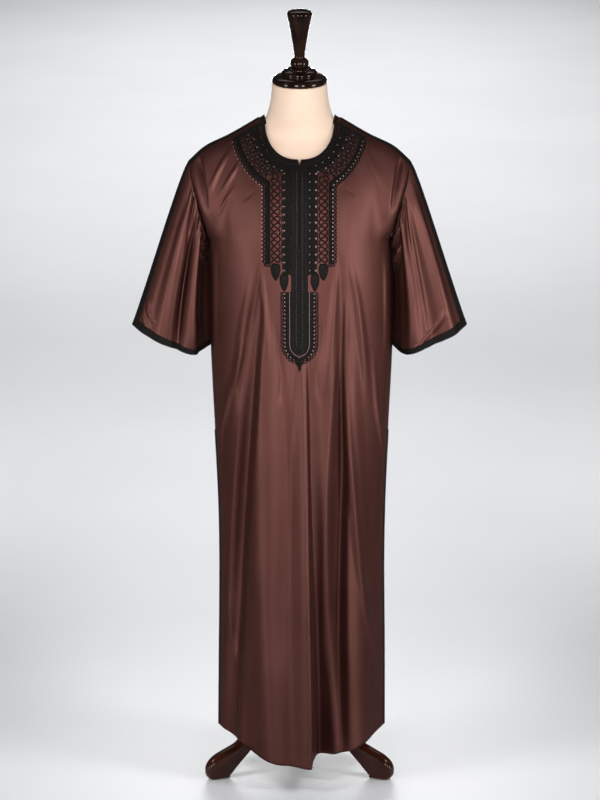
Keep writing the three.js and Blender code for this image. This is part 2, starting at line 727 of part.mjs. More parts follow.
// Leaf-shaped drops under the columns
function dropOutline(hand, drop) {
  const points = [];
  for (let i = 0; i < DROP_STEPS; i += 1) {
    const angle = (i / DROP_STEPS) * 2 * Math.PI;
    const down = (1 - Math.cos(angle)) / 2;
    const wide = drop.half * Math.sin(angle) * (DROP_SHAPE.top + DROP_SHAPE.bottom * Math.sqrt(down));
    points.push([hand * drop.x + wide, drop.topZ - SEAM_GAP - drop.length * down]);
  }
  return points.reverse();
}

for (const [word, hand] of [["left", LEFT], ["right", RIGHT]]) {
  for (const drop of DROPS) {
    const solid = frontLayer.intersect(prism(dropOutline(hand, drop), FRONT).subtract(placketOpening));
    add(`${word}_${drop.name}_drop`, fromSolid(solid), "trim");
  }
}

// Pointed U-shaped piece round the lower end of the placket
function placketEndOutline() {
  const { half, topZ, roundZ, pointZ, tipHalf, tipZ } = PLACKET_END;
  const quarter = [];
  const steps = 6;
  for (let i = 0; i <= steps; i += 1) {
    const angle = (i / steps) * (Math.PI / 2) * PLACKET_END_TURN;
    quarter.push([half * Math.cos(angle), roundZ - (roundZ - pointZ) * Math.sin(angle)]);
  }
  const rightSide = [[half, topZ], ...quarter, [tipHalf, pointZ - 2], [tipHalf, (pointZ + tipZ) / 2]];
  const leftSide = rightSide.map(([x, z]) => [-x, z]).reverse();
  return [...rightSide, [0, tipZ], ...leftSide];
}

const placketEnd = prism(placketEndOutline().reverse(), FRONT).subtract(placketOpening);
add("placket_end", fromSolid(frontLayer.intersect(placketEnd)), "trim");

// Dress form

function torso() {
  const bow = (value, power) => Math.sign(value) * Math.abs(value) ** (2 / power);
  const rings = TORSO.map(({ z, half, front, back, power, slant }) => {
    const ring = [];
    for (let i = 0; i < TORSO_SIDES; i += 1) {
      const angle = (i / TORSO_SIDES) * 2 * Math.PI;
      const y = bow(Math.sin(angle), power) * (Math.sin(angle) > 0 ? back : front);
      ring.push(new THREE.Vector3(half * bow(Math.cos(angle), power), y, z + slant * y));
    }
    return ring;
  });
  const positions = rings.flat().flatMap((p) => p.toArray());
  const last = rings.length - 1;
  positions.push(0, 0, TORSO[0].z, 0, 0, TORSO[last].z);
  const faces = [];
  const id = (r, i) => r * TORSO_SIDES + (i % TORSO_SIDES);
  const [bottom, top] = [rings.length * TORSO_SIDES, rings.length * TORSO_SIDES + 1];
  for (let i = 0; i < TORSO_SIDES; i += 1) {
    for (let r = 0; r < last; r += 1) {
      faces.push(id(r, i), id(r, i + 1), id(r + 1, i + 1), id(r, i), id(r + 1, i + 1), id(r + 1, i));
    }
    faces.push(bottom, id(0, i + 1), id(0, i), top, id(last, i), id(last, i + 1));
  }
  return facesOut(positions, faces);
}

function turned(profile, sides) {
  const geometry = new THREE.LatheGeometry(profile.map(([r, z]) => new THREE.Vector2(r, z)), sides);
  return fromSolid(toSolid(geometry.rotateX(Math.PI / 2)));
}

const capTurn = Math.atan(CAP_TILT);
add("torso", torso(), "cover");
add("neck_cap", turned(CAP_PROFILE, 20), "darkWood", { z: CAP_BASE_Z, turnX: capTurn });
add("finial", turned(FINIAL_PROFILE, 16), "darkWood", { z: CAP_BASE_Z, turnX: capTurn });

// Pole, hub and legs

const poleLength = POLE.topZ - HUB.topZ;
const pole = new THREE.CylinderGeometry(POLE.radius, POLE.radius, poleLength, 16);
add("pole", pole.rotateX(Math.PI / 2), "wood", { z: HUB.topZ + poleLength / 2 });
add("hub", turned(HUB_PROFILE, 20), "wood");

function legShape() {
  const start = HUB.radius + SEAM_GAP;
  const root = [[start, LEG.rootBottomZ], [start, LEG.rootTopZ]];
  const outline = [...root, ...LEG_UPPER_EDGE, ...LEG_TOE, [LEG.heel, 0], ...LEG_LOWER_EDGE];
  return new THREE.Shape(outline.map(([r, z]) => new THREE.Vector2(r, z)));
}

for (const [word, azimuth] of Object.entries(LEG_AZIMUTHS)) {
  const geometry = new THREE.ExtrudeGeometry(legShape(), {
    depth: LEG.thickness - 2 * LEG.bevel,
    bevelThickness: LEG.bevel,
    bevelSize: LEG.bevel,
    bevelOffset: -LEG.bevel,
    bevelSegments: 2,
  });
  geometry.translate(0, 0, LEG.bevel - LEG.thickness / 2);
  geometry.rotateX(Math.PI / 2);
  add(`${word}_leg`, fromSolid(toSolid(geometry)), "wood", { turnZ: THREE.MathUtils.degToRad(azimuth) });
}

export default part;
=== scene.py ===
"""Looks of a men's satin jalabiya on a limbless dress form with a wooden stand.

Cloth is worked out in millimetres in the part's own frame and scaled to metres when it is made.
The front faces -Y and +Z is up. u runs across a panel from its left to its right side seam, and
t from the hem (0) to the armpit (1) and on to the neckline or shoulder (2).
"""

import math

import bpy
import numpy as np
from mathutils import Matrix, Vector
from mathutils.bvhtree import BVHTree


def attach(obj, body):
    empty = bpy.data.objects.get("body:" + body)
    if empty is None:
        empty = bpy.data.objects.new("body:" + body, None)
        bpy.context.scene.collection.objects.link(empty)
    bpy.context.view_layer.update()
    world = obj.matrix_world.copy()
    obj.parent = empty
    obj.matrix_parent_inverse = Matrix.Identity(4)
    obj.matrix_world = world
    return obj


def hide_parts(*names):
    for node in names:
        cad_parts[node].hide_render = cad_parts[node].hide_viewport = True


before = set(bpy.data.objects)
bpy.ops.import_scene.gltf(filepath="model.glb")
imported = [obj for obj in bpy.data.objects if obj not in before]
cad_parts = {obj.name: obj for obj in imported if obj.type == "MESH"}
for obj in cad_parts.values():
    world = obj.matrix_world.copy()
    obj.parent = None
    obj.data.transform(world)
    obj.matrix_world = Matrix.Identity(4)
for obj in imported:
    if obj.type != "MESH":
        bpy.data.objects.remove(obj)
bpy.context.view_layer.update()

MM = 0.001
FRONT, BACK = 1, -1
LEFT, RIGHT = -1, 1
SIDES = {"left": LEFT, "right": RIGHT}

# Cloth
CLOTH = 0.9
SEAM_GAP = 0.3
SEAM_DEPTH, SEAM_WIDTH = 1.1, 3
BODY_HALF = 200
SLEEVE_LENGTH = 330
ARMPIT_Z = 1187
HEM_SIDE_Z = 96
HEM_DIP = {FRONT: 41, BACK: 14}
HEM_ROUND = 1.4
HEM_STITCH = 36
NECK_HALF, NECK_Z, NECK_POWER = 76, 1457, 2.4
NECK_DROP = {FRONT: 92, BACK: 26}
NECK_REACH = {FRONT: 86, BACK: 68}
NECK_END_U = 0.5
NECK_BAND_U = 0.547
NECK_BAND_WIDTH = 13
SHOULDER_TIP_X = 240
SLIT_BOTTOM_Z = 1180


def table(columns, *rows):
    """Rows of numbers with named columns."""
    return [dict(zip(columns.split(), row)) for row in rows]


SHOULDER = table("x z", (76, 1457), (150, 1415), (205, 1388), (240, 1357))
BODY = table(
    "z half middle front back fullness",
    (40, 186, 4, 200, 158, 0.85),
    (280, 184, 5, 186, 150, 0.82),
    (474, 182, 5, 172, 142, 0.78),
    (612, 184, 5, 162, 134, 0.74),
    (770, 191, 4.5, 152, 126, 0.7),
    (960, 199.5, 4.5, 143, 118, 0.64),
    (1100, 200.5, 4, 141, 117, 0.62),
    (ARMPIT_Z, 200, 0, 139, 116, 0.6),
)


def fold(*rows, tip=0):
    """A crest of a panel, or a trough where its rise is negative. tip leans the crest to the right.

    Each row gives its height, where it runs, its widths to the left and right, and its outward rise.
    """
    return tip, table("z x left right rise", *rows)


def sleeve_fold(*rows):
    """A crest or trough of a sleeve, by its share of the way from the armhole (0) to the cuff (1).

    at is its place round the sleeve: 0 on the top line, 1 under the arm by the front, -1 by the back.
    """
    return table("share at wide rise", *rows)


FRONT_FOLDS = [
    # The valley left of the broad middle, and the edge of the middle beside it
    fold((30, -147, 34, 15, -16), (159, -141, 34, 15, -20), (247, -136, 34, 15, -25),
         (334, -130, 34, 15, -35), (508, -122, 34, 15, -39), (682, -112, 32, 15, -31),
         (854, -100, 28, 15, -18), (984, -92, 24, 15, -9), (1110, -80, 18, 15, 0)),
    fold((30, -62, 56, 60, 27), (203, -72, 54, 60, 23), (421, -84, 46, 60, 18), (595, -82, 40, 60, 13),
         (768, -78, 34, 54, 9), (900, -74, 28, 44, 5), (1060, -70, 24, 30, 0)),
    fold((60, -132, 10, 18, 4), (190, -125, 11, 20, 4), (291, -118, 12, 22, 4), (480, -106, 14, 24, 3.4),
         (560, -101, 14, 24, 3.4), (700, -99, 14, 24, 3.4), (860, -90, 12, 20, 3), (1040, -76, 8, 12, 0)),
    # The crest in the middle with its steep right side
    fold((30, 15, 44, 17, 30), (203, 15, 42, 17, 29), (334, 14, 40, 16, 27), (508, 13, 36, 15, 23),
         (682, 13, 34, 13, 18), (811, 12, 30, 12, 13), (897, 11, 24, 11, 8), (985, 9, 16, 11, 0), tip=9),
    # The deep trough right of the crest, in two valleys with a low ridge between them
    fold((30, 42, 20, 46, -86), (203, 42, 19, 38, -66), (334, 39, 17, 36, -46), (508, 33, 14, 34, -22),
         (682, 27, 12, 32, -10), (854, 23, 10, 26, -4), (960, 18, 10, 18, 0)),
    fold((30, 84, 40, 34, -26), (203, 82, 38, 32, -38), (334, 81, 36, 30, -40), (508, 84, 35, 26, -34),
         (682, 89, 33, 22, -25), (854, 91, 23, 16, -18), (984, 92, 18, 12, -9), (1090, 91, 14, 10, -4),
         (1170, 86, 10, 9, 0)),
    # Ridges on the right
    fold((30, 142, 44, 36, 24), (159, 140, 42, 34, 16), (291, 138, 38, 30, 11), (508, 136, 34, 28, 8),
         (682, 126, 24, 26, 6), (854, 116, 18, 24, 4), (984, 114, 14, 20, 0)),
    fold((190, 178, 9, 9, 0), (270, 169, 11, 11, 5), (355, 152, 13, 12, 6), (480, 133, 15, 14, 7),
         (648, 116, 15, 15, 8), (818, 101, 13, 15, 7), (925, 96, 10, 13, 6), (1010, 98, 8, 12, 3),
         (1080, 98, 7, 10, 0)),
    fold((700, 187, 8, 8, 0), (760, 181, 9, 8, 6), (800, 174, 10, 8, 6), (854, 168, 10, 8, 4),
         (950, 160, 9, 9, 0)),
    # Ridges on the left
    fold((560, -176, 8, 8, 0), (700, -176, 8, 9, 5), (768, -174, 9, 9, 7), (815, -163, 13, 10, 6),
         (860, -151, 14, 11, 6), (910, -136, 15, 12, 4), (985, -120, 13, 12, 0)),
    fold((210, -134, 11, 11, 0), (290, -146, 12, 11, 2.6), (378, -158, 12, 10, 2.4), (470, -170, 11, 9, 0)),
    # Soft waves of the broad middle
    fold((250, -40, 26, 22, 0), (421, -32, 26, 20, -2.5), (595, -26, 26, 18, -3.5), (768, -28, 24, 18, -2.5),
         (900, -34, 18, 16, 0)),
    # Short folds that spread from the lower corners of the embroidery
    fold((820, -132, 15, 14, 0), (931, -116, 15, 13, -5), (1020, -104, 13, 12, -6), (1085, -94, 10, 10, -4),
         (1150, -84, 7, 8, 0)),
    fold((760, -146, 12, 12, 0), (860, -138, 14, 14, 3), (1000, -124, 14, 13, 3.4), (1120, -104, 9, 9, 0)),
    fold((930, -70, 12, 12, 0), (1000, -72, 12, 11, 3.4), (1080, -78, 10, 9, 3.4), (1130, -80, 7, 7, 0)),
    fold((860, 56, 14, 12, 0), (960, 66, 14, 13, 3.6), (1060, 74, 12, 11, 3.6), (1130, 78, 8, 8, 0)),
    fold((820, 150, 14, 14, 0), (940, 140, 14, 14, 5), (1060, 126, 12, 12, 4), (1150, 108, 10, 10, 0)),
    fold((840, -44, 10, 10, 0), (900, -38, 9, 9, -3), (960, -46, 8, 8, -3), (1020, -52, 7, 7, 0)),
    fold((840, 44, 10, 10, 0), (900, 36, 9, 9, -3), (960, 44, 8, 8, -3), (1030, 50, 7, 7, 0)),
    fold((1272, -124, 9, 9, 0), (1290, -108, 8, 8, -1.6), (1306, -92, 7, 7, 0)),
    fold((1286, 118, 8, 8, 0), (1300, 104, 7, 7, -2), (1310, 90, 6, 6, 0)),
    # Pleats where the cloth folds over beside the armholes
    fold((1248, -200, 9, 9, 0), (1290, -206, 9, 8, -9), (1328, -211, 8, 6, -15), (1352, -216, 7, 6, -11),
         (1367, -219, 6, 6, 0)),
    fold((1248, 201, 9, 9, 0), (1290, 207, 8, 9, -9), (1328, 213, 6, 8, -15), (1352, 218, 6, 7, -11),
         (1367, 221, 6, 6, 0)),
    # Pulls from the shoulders over the chest
    fold((1276, -176, 9, 9, 0), (1306, -160, 9, 8, 2.6), (1336, -142, 8, 8, 3.4), (1366, -126, 7, 7, 0)),
    fold((1286, -196, 9, 9, 0), (1320, -184, 9, 9, 3), (1358, -164, 9, 8, 3.4), (1392, -144, 8, 8, 0)),
    fold((1244, -172, 9, 8, 0), (1266, -164, 8, 7, 2.6), (1290, -150, 7, 7, 2.2), (1308, -138, 7, 7, 0)),
    fold((1290, 184, 12, 12, 0), (1324, 172, 12, 12, 1.6), (1360, 154, 11, 11, 1.6), (1390, 138, 10, 10, 0)),
    fold((900, 188, 9, 7, 0), (1000, 190, 9, 6, 4), (1100, 189, 9, 6, 5), (1170, 186, 8, 7, 0)),
    fold((880, -186, 7, 9, 0), (990, -188, 6, 10, 5), (1100, -187, 6, 10, 5), (1180, -184, 7, 8, 0)),
]
BACK_FOLDS = [
    fold((30, -128, 30, 34, 26), (400, -122, 30, 32, 17), (800, -115, 26, 30, 8), (1120, -110, 20, 22, 0)),
    fold((30, -66, 26, 22, -44), (350, -64, 25, 22, -26), (700, -61, 22, 20, -11), (1060, -58, 18, 18, 0)),
    fold((30, -6, 40, 34, 36), (400, -3, 38, 32, 22), (800, 1, 30, 30, 9), (1120, 4, 24, 24, 0)),
    fold((30, 60, 22, 26, -46), (350, 60, 22, 26, -26), (680, 59, 20, 24, -11), (1000, 58, 16, 20, 0)),
    fold((30, 122, 34, 30, 28), (400, 116, 32, 28, 18), (800, 109, 28, 26, 9), (1090, 104, 20, 20, 0)),
    fold((30, -170, 14, 12, 9), (300, -164, 13, 12, 6), (620, -160, 11, 11, 0)),
    fold((180, 176, 10, 9, 0), (330, 166, 11, 10, 5), (520, 150, 11, 10, 5), (700, 136, 10, 10, 0)),
    fold((640, -176, 9, 9, 0), (760, -168, 10, 10, 5), (880, -150, 11, 10, 5), (1000, -132, 10, 10, 0)),
    fold((300, 26, 12, 12, 0), (500, 24, 12, 12, -5), (760, 22, 11, 11, -4), (980, 20, 10, 10, 0)),
    fold((420, -34, 12, 12, 0), (640, -34, 12, 12, 4), (900, -30, 11, 12, 4), (1080, -24, 10, 10, 0)),
    fold((1220, -170, 11, 11, 0), (1290, -140, 10, 10, 5), (1350, -106, 9, 9, 4), (1392, -84, 8, 8, 0)),
    fold((1180, -186, 10, 9, 0), (1250, -176, 10, 9, 5), (1320, -158, 9, 9, 5), (1375, -136, 8, 8, 0)),
    fold((1230, 172, 11, 11, 0), (1300, 144, 10, 10, 5), (1356, 112, 9, 9, 4), (1396, 88, 8, 8, 0)),
    fold((1190, 188, 9, 10, 0), (1262, 178, 9, 10, 4), (1326, 160, 9, 9, 5), (1380, 140, 8, 8, 0)),
    fold((1090, -40, 16, 16, 0), (1200, -30, 15, 15, 3), (1310, -14, 13, 13, 3), (1390, -4, 10, 10, 0)),
    fold((1060, 52, 15, 15, 0), (1180, 44, 14, 14, 3), (1300, 30, 12, 12, 3), (1385, 22, 10, 10, 0)),
]
# How the folds fade out towards the side seams, low down and higher up, and towards the upper edge
FOLD_EDGE_FADE = (0.14, 0.07)
FOLD_TOP_FADE = 0.12
# The folds rise straight forwards below these heights and along the cloth's normal above them
NORMAL_FROM_Z = (1090, 1230)
SEAM_END_T = 1.97

CUFF = table("round x depth z", (0, 366, 0, 998), (0.25, 337, 32, 980), (0.5, 287, 46, 957),
             (0.78, 233, 38, 938), (1, 203, 0, 955))
CUFF_BACK_LIFT = 5
# How the columns above the armpits leave that level and how they meet the upper edge. Pairs run from
# the middle to the arm in LOW_PULL, and from the arm to the neck in TOP_PULL
NEAR_ARM_U, NEAR_NECK_U = (0.78, 1), (0.3, 0.62)
LOW_PULL = {"aside": 4, "ahead": (2, 52), "up": (66, 26)}
TOP_PULL = {"aside": 34, "aside_u": (0.46, 0.34), "ahead": (60, 40), "down": (10, 40)}
TOP_PULL_AT_ARM = {"ahead": 0.8, "down": 26}
BACK_PULL = 0.9
SLEEVE_PULL = {
    "armhole": {"top": (20, 0, -30), "middle": (14, -4, -50), "under": (7, 0, -34)},
    "cuff": {"top": (-46, 0, 128), "middle": (-14, -2, 120), "under": (4, 0, 70)},
}
SLEEVE_FOLDS = {
    LEFT: [
        # Broad ridges and valleys that fan out to the cuff
        sleeve_fold((0.15, 0.36, 0.1, 0), (0.4, 0.4, 0.13, 8), (0.8, 0.43, 0.16, 10), (1, 0.43, 0.16, 8)),
        sleeve_fold((0.1, 0.55, 0.05, 0), (0.25, 0.57, 0.07, -9), (0.5, 0.59, 0.085, -19),
                    (0.85, 0.6, 0.09, -20), (1, 0.6, 0.09, -11)),
        sleeve_fold((0.05, 0.66, 0.05, 0), (0.2, 0.68, 0.065, 9), (0.5, 0.72, 0.085, 13),
                    (0.85, 0.76, 0.1, 14), (1, 0.77, 0.1, 10)),
        # The dark hollow beside the body
        sleeve_fold((0.22, 0.88, 0.05, 0), (0.36, 0.92, 0.06, -7), (0.75, 0.93, 0.06, -9),
                    (0.92, 0.94, 0.05, -5), (1, 0.94, 0.05, 0)),
        # Pleats of the sleeve head
        sleeve_fold((0.02, 0.42, 0.03, 0), (0.06, 0.43, 0.04, -6), (0.18, 0.46, 0.045, -7),
                    (0.34, 0.5, 0.05, -4), (0.48, 0.54, 0.05, 0)),
        sleeve_fold((0.02, 0.34, 0.045, 0), (0.08, 0.35, 0.05, 4), (0.2, 0.38, 0.06, 4),
                    (0.36, 0.4, 0.07, 0)),
        sleeve_fold((0.01, 0.54, 0.035, 0), (0.04, 0.55, 0.045, 8), (0.14, 0.58, 0.045, 8),
                    (0.24, 0.62, 0.04, 0)),
        # Crumples under the arm
        sleeve_fold((0.06, 0.64, 0.03, 0), (0.09, 0.72, 0.035, 8), (0.12, 0.8, 0.04, 8), (0.14, 0.9, 0.04, 4),
                    (0.15, 1.02, 0.04, 0)),
        sleeve_fold((0.1, 0.7, 0.025, 0), (0.13, 0.76, 0.03, -8), (0.16, 0.84, 0.035, -7),
                    (0.185, 0.95, 0.04, 0)),
        sleeve_fold((0.15, 0.66, 0.03, 0), (0.175, 0.74, 0.035, 9), (0.2, 0.82, 0.04, 8),
                    (0.215, 0.92, 0.045, 8), (0.225, 1.02, 0.04, 0)),
        sleeve_fold((0.2, 0.7, 0.03, 0), (0.225, 0.77, 0.035, -8), (0.25, 0.86, 0.04, -7),
                    (0.27, 0.96, 0.04, 0)),
        sleeve_fold((0.25, 0.72, 0.03, 0), (0.27, 0.78, 0.035, 8), (0.295, 0.86, 0.04, 7),
                    (0.32, 0.95, 0.04, 6), (0.33, 1.02, 0.04, 0)),
        # Wrinkles above the cuff
        sleeve_fold((0.83, 0.14, 0.04, 0), (0.87, 0.19, 0.045, 4), (0.9, 0.26, 0.05, 5),
                    (0.92, 0.36, 0.05, 0)),
        sleeve_fold((0.88, 0.1, 0.04, 0), (0.92, 0.15, 0.04, 4), (0.95, 0.22, 0.045, 4),
                    (0.97, 0.3, 0.05, 0)),
        # The side away from the photograph
        sleeve_fold((0.15, -0.45, 0.12, 0), (0.5, -0.45, 0.15, 7), (1, -0.45, 0.16, 7)),
        sleeve_fold((0.05, -0.62, 0.08, 0), (0.3, -0.66, 0.09, -7), (0.8, -0.7, 0.1, -6), (1, -0.7, 0.1, 0)),
        sleeve_fold((0.02, -0.34, 0.05, 0), (0.12, -0.34, 0.05, 4), (0.4, -0.28, 0.07, 5),
                    (0.7, -0.24, 0.07, 0)),
        sleeve_fold((0.16, -0.98, 0.05, 0), (0.2, -0.86, 0.05, 5), (0.24, -0.74, 0.05, 5),
                    (0.28, -0.62, 0.04, 0)),
    ],
    RIGHT: [
        sleeve_fold((0.14, 0.24, 0.09, 0), (0.4, 0.26, 0.11, 6), (0.8, 0.28, 0.13, 8), (1, 0.28, 0.13, 6)),
        sleeve_fold((0.1, 0.38, 0.05, 0), (0.35, 0.43, 0.07, -6), (0.7, 0.46, 0.09, -9), (1, 0.46, 0.09, -7)),
        sleeve_fold((0.05, 0.56, 0.06, 0), (0.2, 0.6, 0.08, 9), (0.5, 0.65, 0.11, 13), (0.85, 0.68, 0.13, 14),
                    (1, 0.68, 0.13, 10)),
        sleeve_fold((0.3, 0.88, 0.05, 0), (0.44, 0.92, 0.06, -7), (0.75, 0.93, 0.06, -9),
                    (0.92, 0.94, 0.05, -5), (1, 0.94, 0.05, 0)),
        sleeve_fold((0.01, 0.42, 0.035, 0), (0.06, 0.43, 0.045, -5), (0.2, 0.5, 0.06, -6),
                    (0.36, 0.56, 0.065, -3), (0.5, 0.58, 0.065, 0)),
        sleeve_fold((0.01, 0.5, 0.035, 0), (0.05, 0.52, 0.04, 8), (0.12, 0.58, 0.045, 8),
                    (0.2, 0.64, 0.04, 0)),
        sleeve_fold((0.06, 0.62, 0.03, 0), (0.085, 0.7, 0.035, -8), (0.11, 0.8, 0.04, -10),
                    (0.13, 0.94, 0.04, 0)),
        sleeve_fold((0.1, 0.66, 0.03, 0), (0.13, 0.73, 0.04, 10), (0.165, 0.82, 0.045, 12),
                    (0.19, 0.92, 0.05, 9), (0.2, 1.02, 0.05, 0)),
        sleeve_fold((0.18, 0.68, 0.03, 0), (0.205, 0.75, 0.035, -9), (0.24, 0.84, 0.045, -12),
                    (0.27, 0.96, 0.04, 0)),
        sleeve_fold((0.24, 0.7, 0.03, 0), (0.275, 0.77, 0.04, 10), (0.315, 0.86, 0.045, 13),
                    (0.345, 0.95, 0.05, 8), (0.36, 1.02, 0.05, 0)),
        sleeve_fold((0.34, 0.74, 0.03, 0), (0.365, 0.8, 0.035, -6), (0.4, 0.9, 0.04, -8),
                    (0.42, 0.98, 0.04, 0)),
        sleeve_fold((0.85, 0.3, 0.04, 0), (0.89, 0.36, 0.045, 4), (0.92, 0.44, 0.05, 5),
                    (0.95, 0.56, 0.05, 0)),
        sleeve_fold((0.9, 0.48, 0.04, 0), (0.935, 0.54, 0.04, 4), (0.96, 0.62, 0.045, 4),
                    (0.985, 0.7, 0.05, 0)),
        sleeve_fold((0.15, -0.42, 0.12, 0), (0.5, -0.47, 0.15, 7), (1, -0.48, 0.16, 7)),
        sleeve_fold((0.05, -0.66, 0.08, 0), (0.3, -0.7, 0.09, -7), (0.8, -0.74, 0.1, -6), (1, -0.74, 0.1, 0)),
        sleeve_fold((0.02, -0.3, 0.05, 0), (0.14, -0.32, 0.05, 4), (0.4, -0.25, 0.07, 5),
                    (0.66, -0.2, 0.07, 0)),
        sleeve_fold((0.18, -0.98, 0.05, 0), (0.23, -0.87, 0.05, 5), (0.27, -0.76, 0.05, 5),
                    (0.31, -0.64, 0.04, 0)),
    ],
}
# How the folds of the sleeves fade in at the armhole and at the line under the arm
SLEEVE_FOLD_FADE = {"armhole": 0.06, "under": 0.035}
# The under sides are drawn to the body's side edge and set back behind it. UNDER_CLEAR is how far
# outside the edge they stay (less than 0 is inside), and UNDER_BEHIND how much further in they go
# where they are set back. UNDER_SHARE is how much of the round moves, and the last two are how soon
UNDER_CLEAR = -3
UNDER_SHARE = 0.15
UNDER_BACK = 30
UNDER_BEHIND = 1
UNDER_FROM = 0.04
UNDER_BACK_FROM = 0.1

# Trims
BRAID_HALF = 12
CUFF_BRAID = 13
SIDE_BRAID_TOP_Z = 765
TRIM_LOW = 0.05
SLIT_STITCHES = {"x": 6.6, "z": (1176, 1338), "pitch": 3.4}
PLACKET = {"half": 17.8, "bottom_z": 951, "round_z": 978, "strips": ((0.7, 9.7, 1.9), (9.8, 17.8, 2.3))}
COLUMN_START = 18
ROWS_END_Z = 1146
BAND_END_Z = 1122
DROPS = table("x top_z length half", (51, 1143, 33, 9.3), (33, 1121, 34, 8.6))
U_TOP_Z, U_ROUND_Z = 1086, 975

# Dress form
TORSO = table(
    "z half front back power slant",
    (835, 140, 86, 90, 2, 0),
    (850, 150, 96, 98, 2, 0),
    (940, 158, 106, 104, 2, 0),
    (1060, 150, 104, 94, 2, 0),
    (1187, 166, 122, 97, 2, 0),
    (1280, 172, 114, 88, 2, 0),
    (1345, 188, 86, 73, 2, 0),
    (1378, 178, 69, 60, 2, 0.03),
    (1408, 132, 55, 55, 1.5, 0.06),
    (1432, 86, 56, 57, 1.55, 0.1),
    (1444, 77, 57.5, 58, 1.7, 0.12),
    (1458, 70.5, 60, 60, 2, 0.14),
    (1490, 62.5, 58, 58, 2, 0.18),
    (1525, 59.5, 58, 58, 2, 0.2),
)
CAP_TILT = 0.2
CAP_BASE_Z = 1525.5
CAP_PROFILE = [
    (0, 0), (57.5, 0), (59, 0.6), (60, 2.2), (60.2, 5), (59.6, 8.6), (57.4, 11.8), (53, 14), (47, 15.2),
    (40.5, 16), (38.8, 17), (38.6, 18.6), (39.6, 20.2), (39.9, 22.4), (38.8, 25), (35.5, 27.2),
    (30.5, 28.6), (26.4, 29.4), (25.6, 30.6), (25.7, 32), (24.6, 33), (0, 33),
]
FINIAL_PROFILE = [
    (0, 33.1), (14, 33.1), (17, 34.6), (19.4, 38), (20.5, 43), (19.9, 47), (17.8, 51), (14.4, 54), (12, 55.6),
    (11.3, 57.6), (11.5, 60), (12.2, 66), (13, 72), (15, 86), (17.5, 100), (20, 114), (23, 129), (25.6, 141),
    (27.3, 149), (27.6, 152), (27, 154.6), (24.6, 156.6), (20, 158.2), (13, 159.6), (6, 160.3), (0, 160.5),
]
POLE_PROFILE = [(0, 232), (14, 232), (16, 234), (16, 832.7), (15, 834.7), (0, 834.7)]
HUB_PROFILE = [
    (0, 118), (24, 118), (29, 119.5), (33, 124), (35.4, 131), (36, 138), (36, 216), (34.5, 220.5),
    (30, 224), (24, 227.5), (20, 231), (18, 231.7), (0, 231.7),
]
LEG_THICKNESS = 28
LEG_BEVEL = 11
LEG_OUTLINE = [
    (36.3, 156), (36.3, 222), (60, 212), (86, 178), (114, 128), (140, 92), (164, 73), (190, 63), (213, 54),
    (229, 43), (237, 30), (238, 16), (234, 5), (226, 0), (184, 0), (172, 12), (156, 28), (138, 44),
    (112, 70), (90, 102), (64, 138),
]
LEG_AZIMUTHS = {"left_leg": -150, "right_leg": -30, "rear_leg": 90}


# Numbers


def mix(a, b, share):
    return a + (b - a) * share


def ease(low, high, value):
    share = np.clip((value - low) / (high - low), 0, 1)
    return share * share * (3 - 2 * share)


def smooth(rows, by, at, column):
    """One column of a table whose rows rise in another column, as a smooth curve through them."""
    xs = np.array([row[by] for row in rows], float)
    ys = np.array([row[column] for row in rows], float)
    last = len(rows) - 1
    low = np.maximum(np.arange(last + 1) - 1, 0)
    high = np.minimum(np.arange(last + 1) + 1, last)
    slopes = (ys[high] - ys[low]) / (xs[high] - xs[low])
    x = np.clip(np.asarray(at, float), xs[0], xs[-1])
    i = np.clip(np.searchsorted(xs, x) - 1, 0, last - 1)
    gap = xs[i + 1] - xs[i]
    t = (x - xs[i]) / gap
    return (
        ys[i] * (1 + 2 * t) * (1 - t) ** 2
        + slopes[i] * gap * t * (1 - t) ** 2
        + ys[i + 1] * t * t * (3 - 2 * t)
        + slopes[i + 1] * gap * t * t * (t - 1)
    )


def bump(offset, left, right):
    share = np.minimum(1, np.abs(offset) / np.where(offset < 0, left, right))
    return np.cos(share * math.pi / 2) ** 2


def stack(x, y, z):
    return np.stack(np.broadcast_arrays(x, y, z), axis=-1).astype(float)


def unit(vectors):
    return vectors / np.maximum(np.linalg.norm(vectors, axis=-1, keepdims=True), 1e-9)


def bezier(points, t):
    t = np.asarray(t, float)[..., None]
    s = 1 - t
    return s**3 * points[0] + 3 * s * s * t * points[1] + 3 * s * t * t * points[2] + t**3 * points[3]


# The garment's surface


def fold_rise(folds, x, z):
    """Outward rise and sideways lean of the folds at places seen from the front."""
    rise = np.zeros_like(x)
    lean = np.zeros_like(x)
    for tip, rows in folds:
        low, high = rows[0]["z"], rows[-1]["z"]
        near = (z >= low - 5) & (z <= high)
        if not near.any():
            continue
        at = z[near]
        across = bump(
            x[near] - smooth(rows, "z", at, "x"),
            smooth(rows, "z", at, "left"),
            smooth(rows, "z", at, "right"),
        )
        here = smooth(rows, "z", at, "rise") * across
        rise[near] += here
        if tip:
            lean[near] += tip * across * ease(high, low, at)
    return rise, lean


def base_body(side, u, z):
    x = smooth(BODY, "z", z, "middle") + smooth(BODY, "z", z, "half") * u
    depth = smooth(BODY, "z", z, "front" if side == FRONT else "back")
    out = depth * np.maximum(0, 1 - u * u) ** smooth(BODY, "z", z, "fullness")
    return stack(x, -side * out, z)


def hem_z(side, u):
    return HEM_SIDE_Z - HEM_DIP[side] * np.maximum(0, 1 - u * u) ** HEM_ROUND


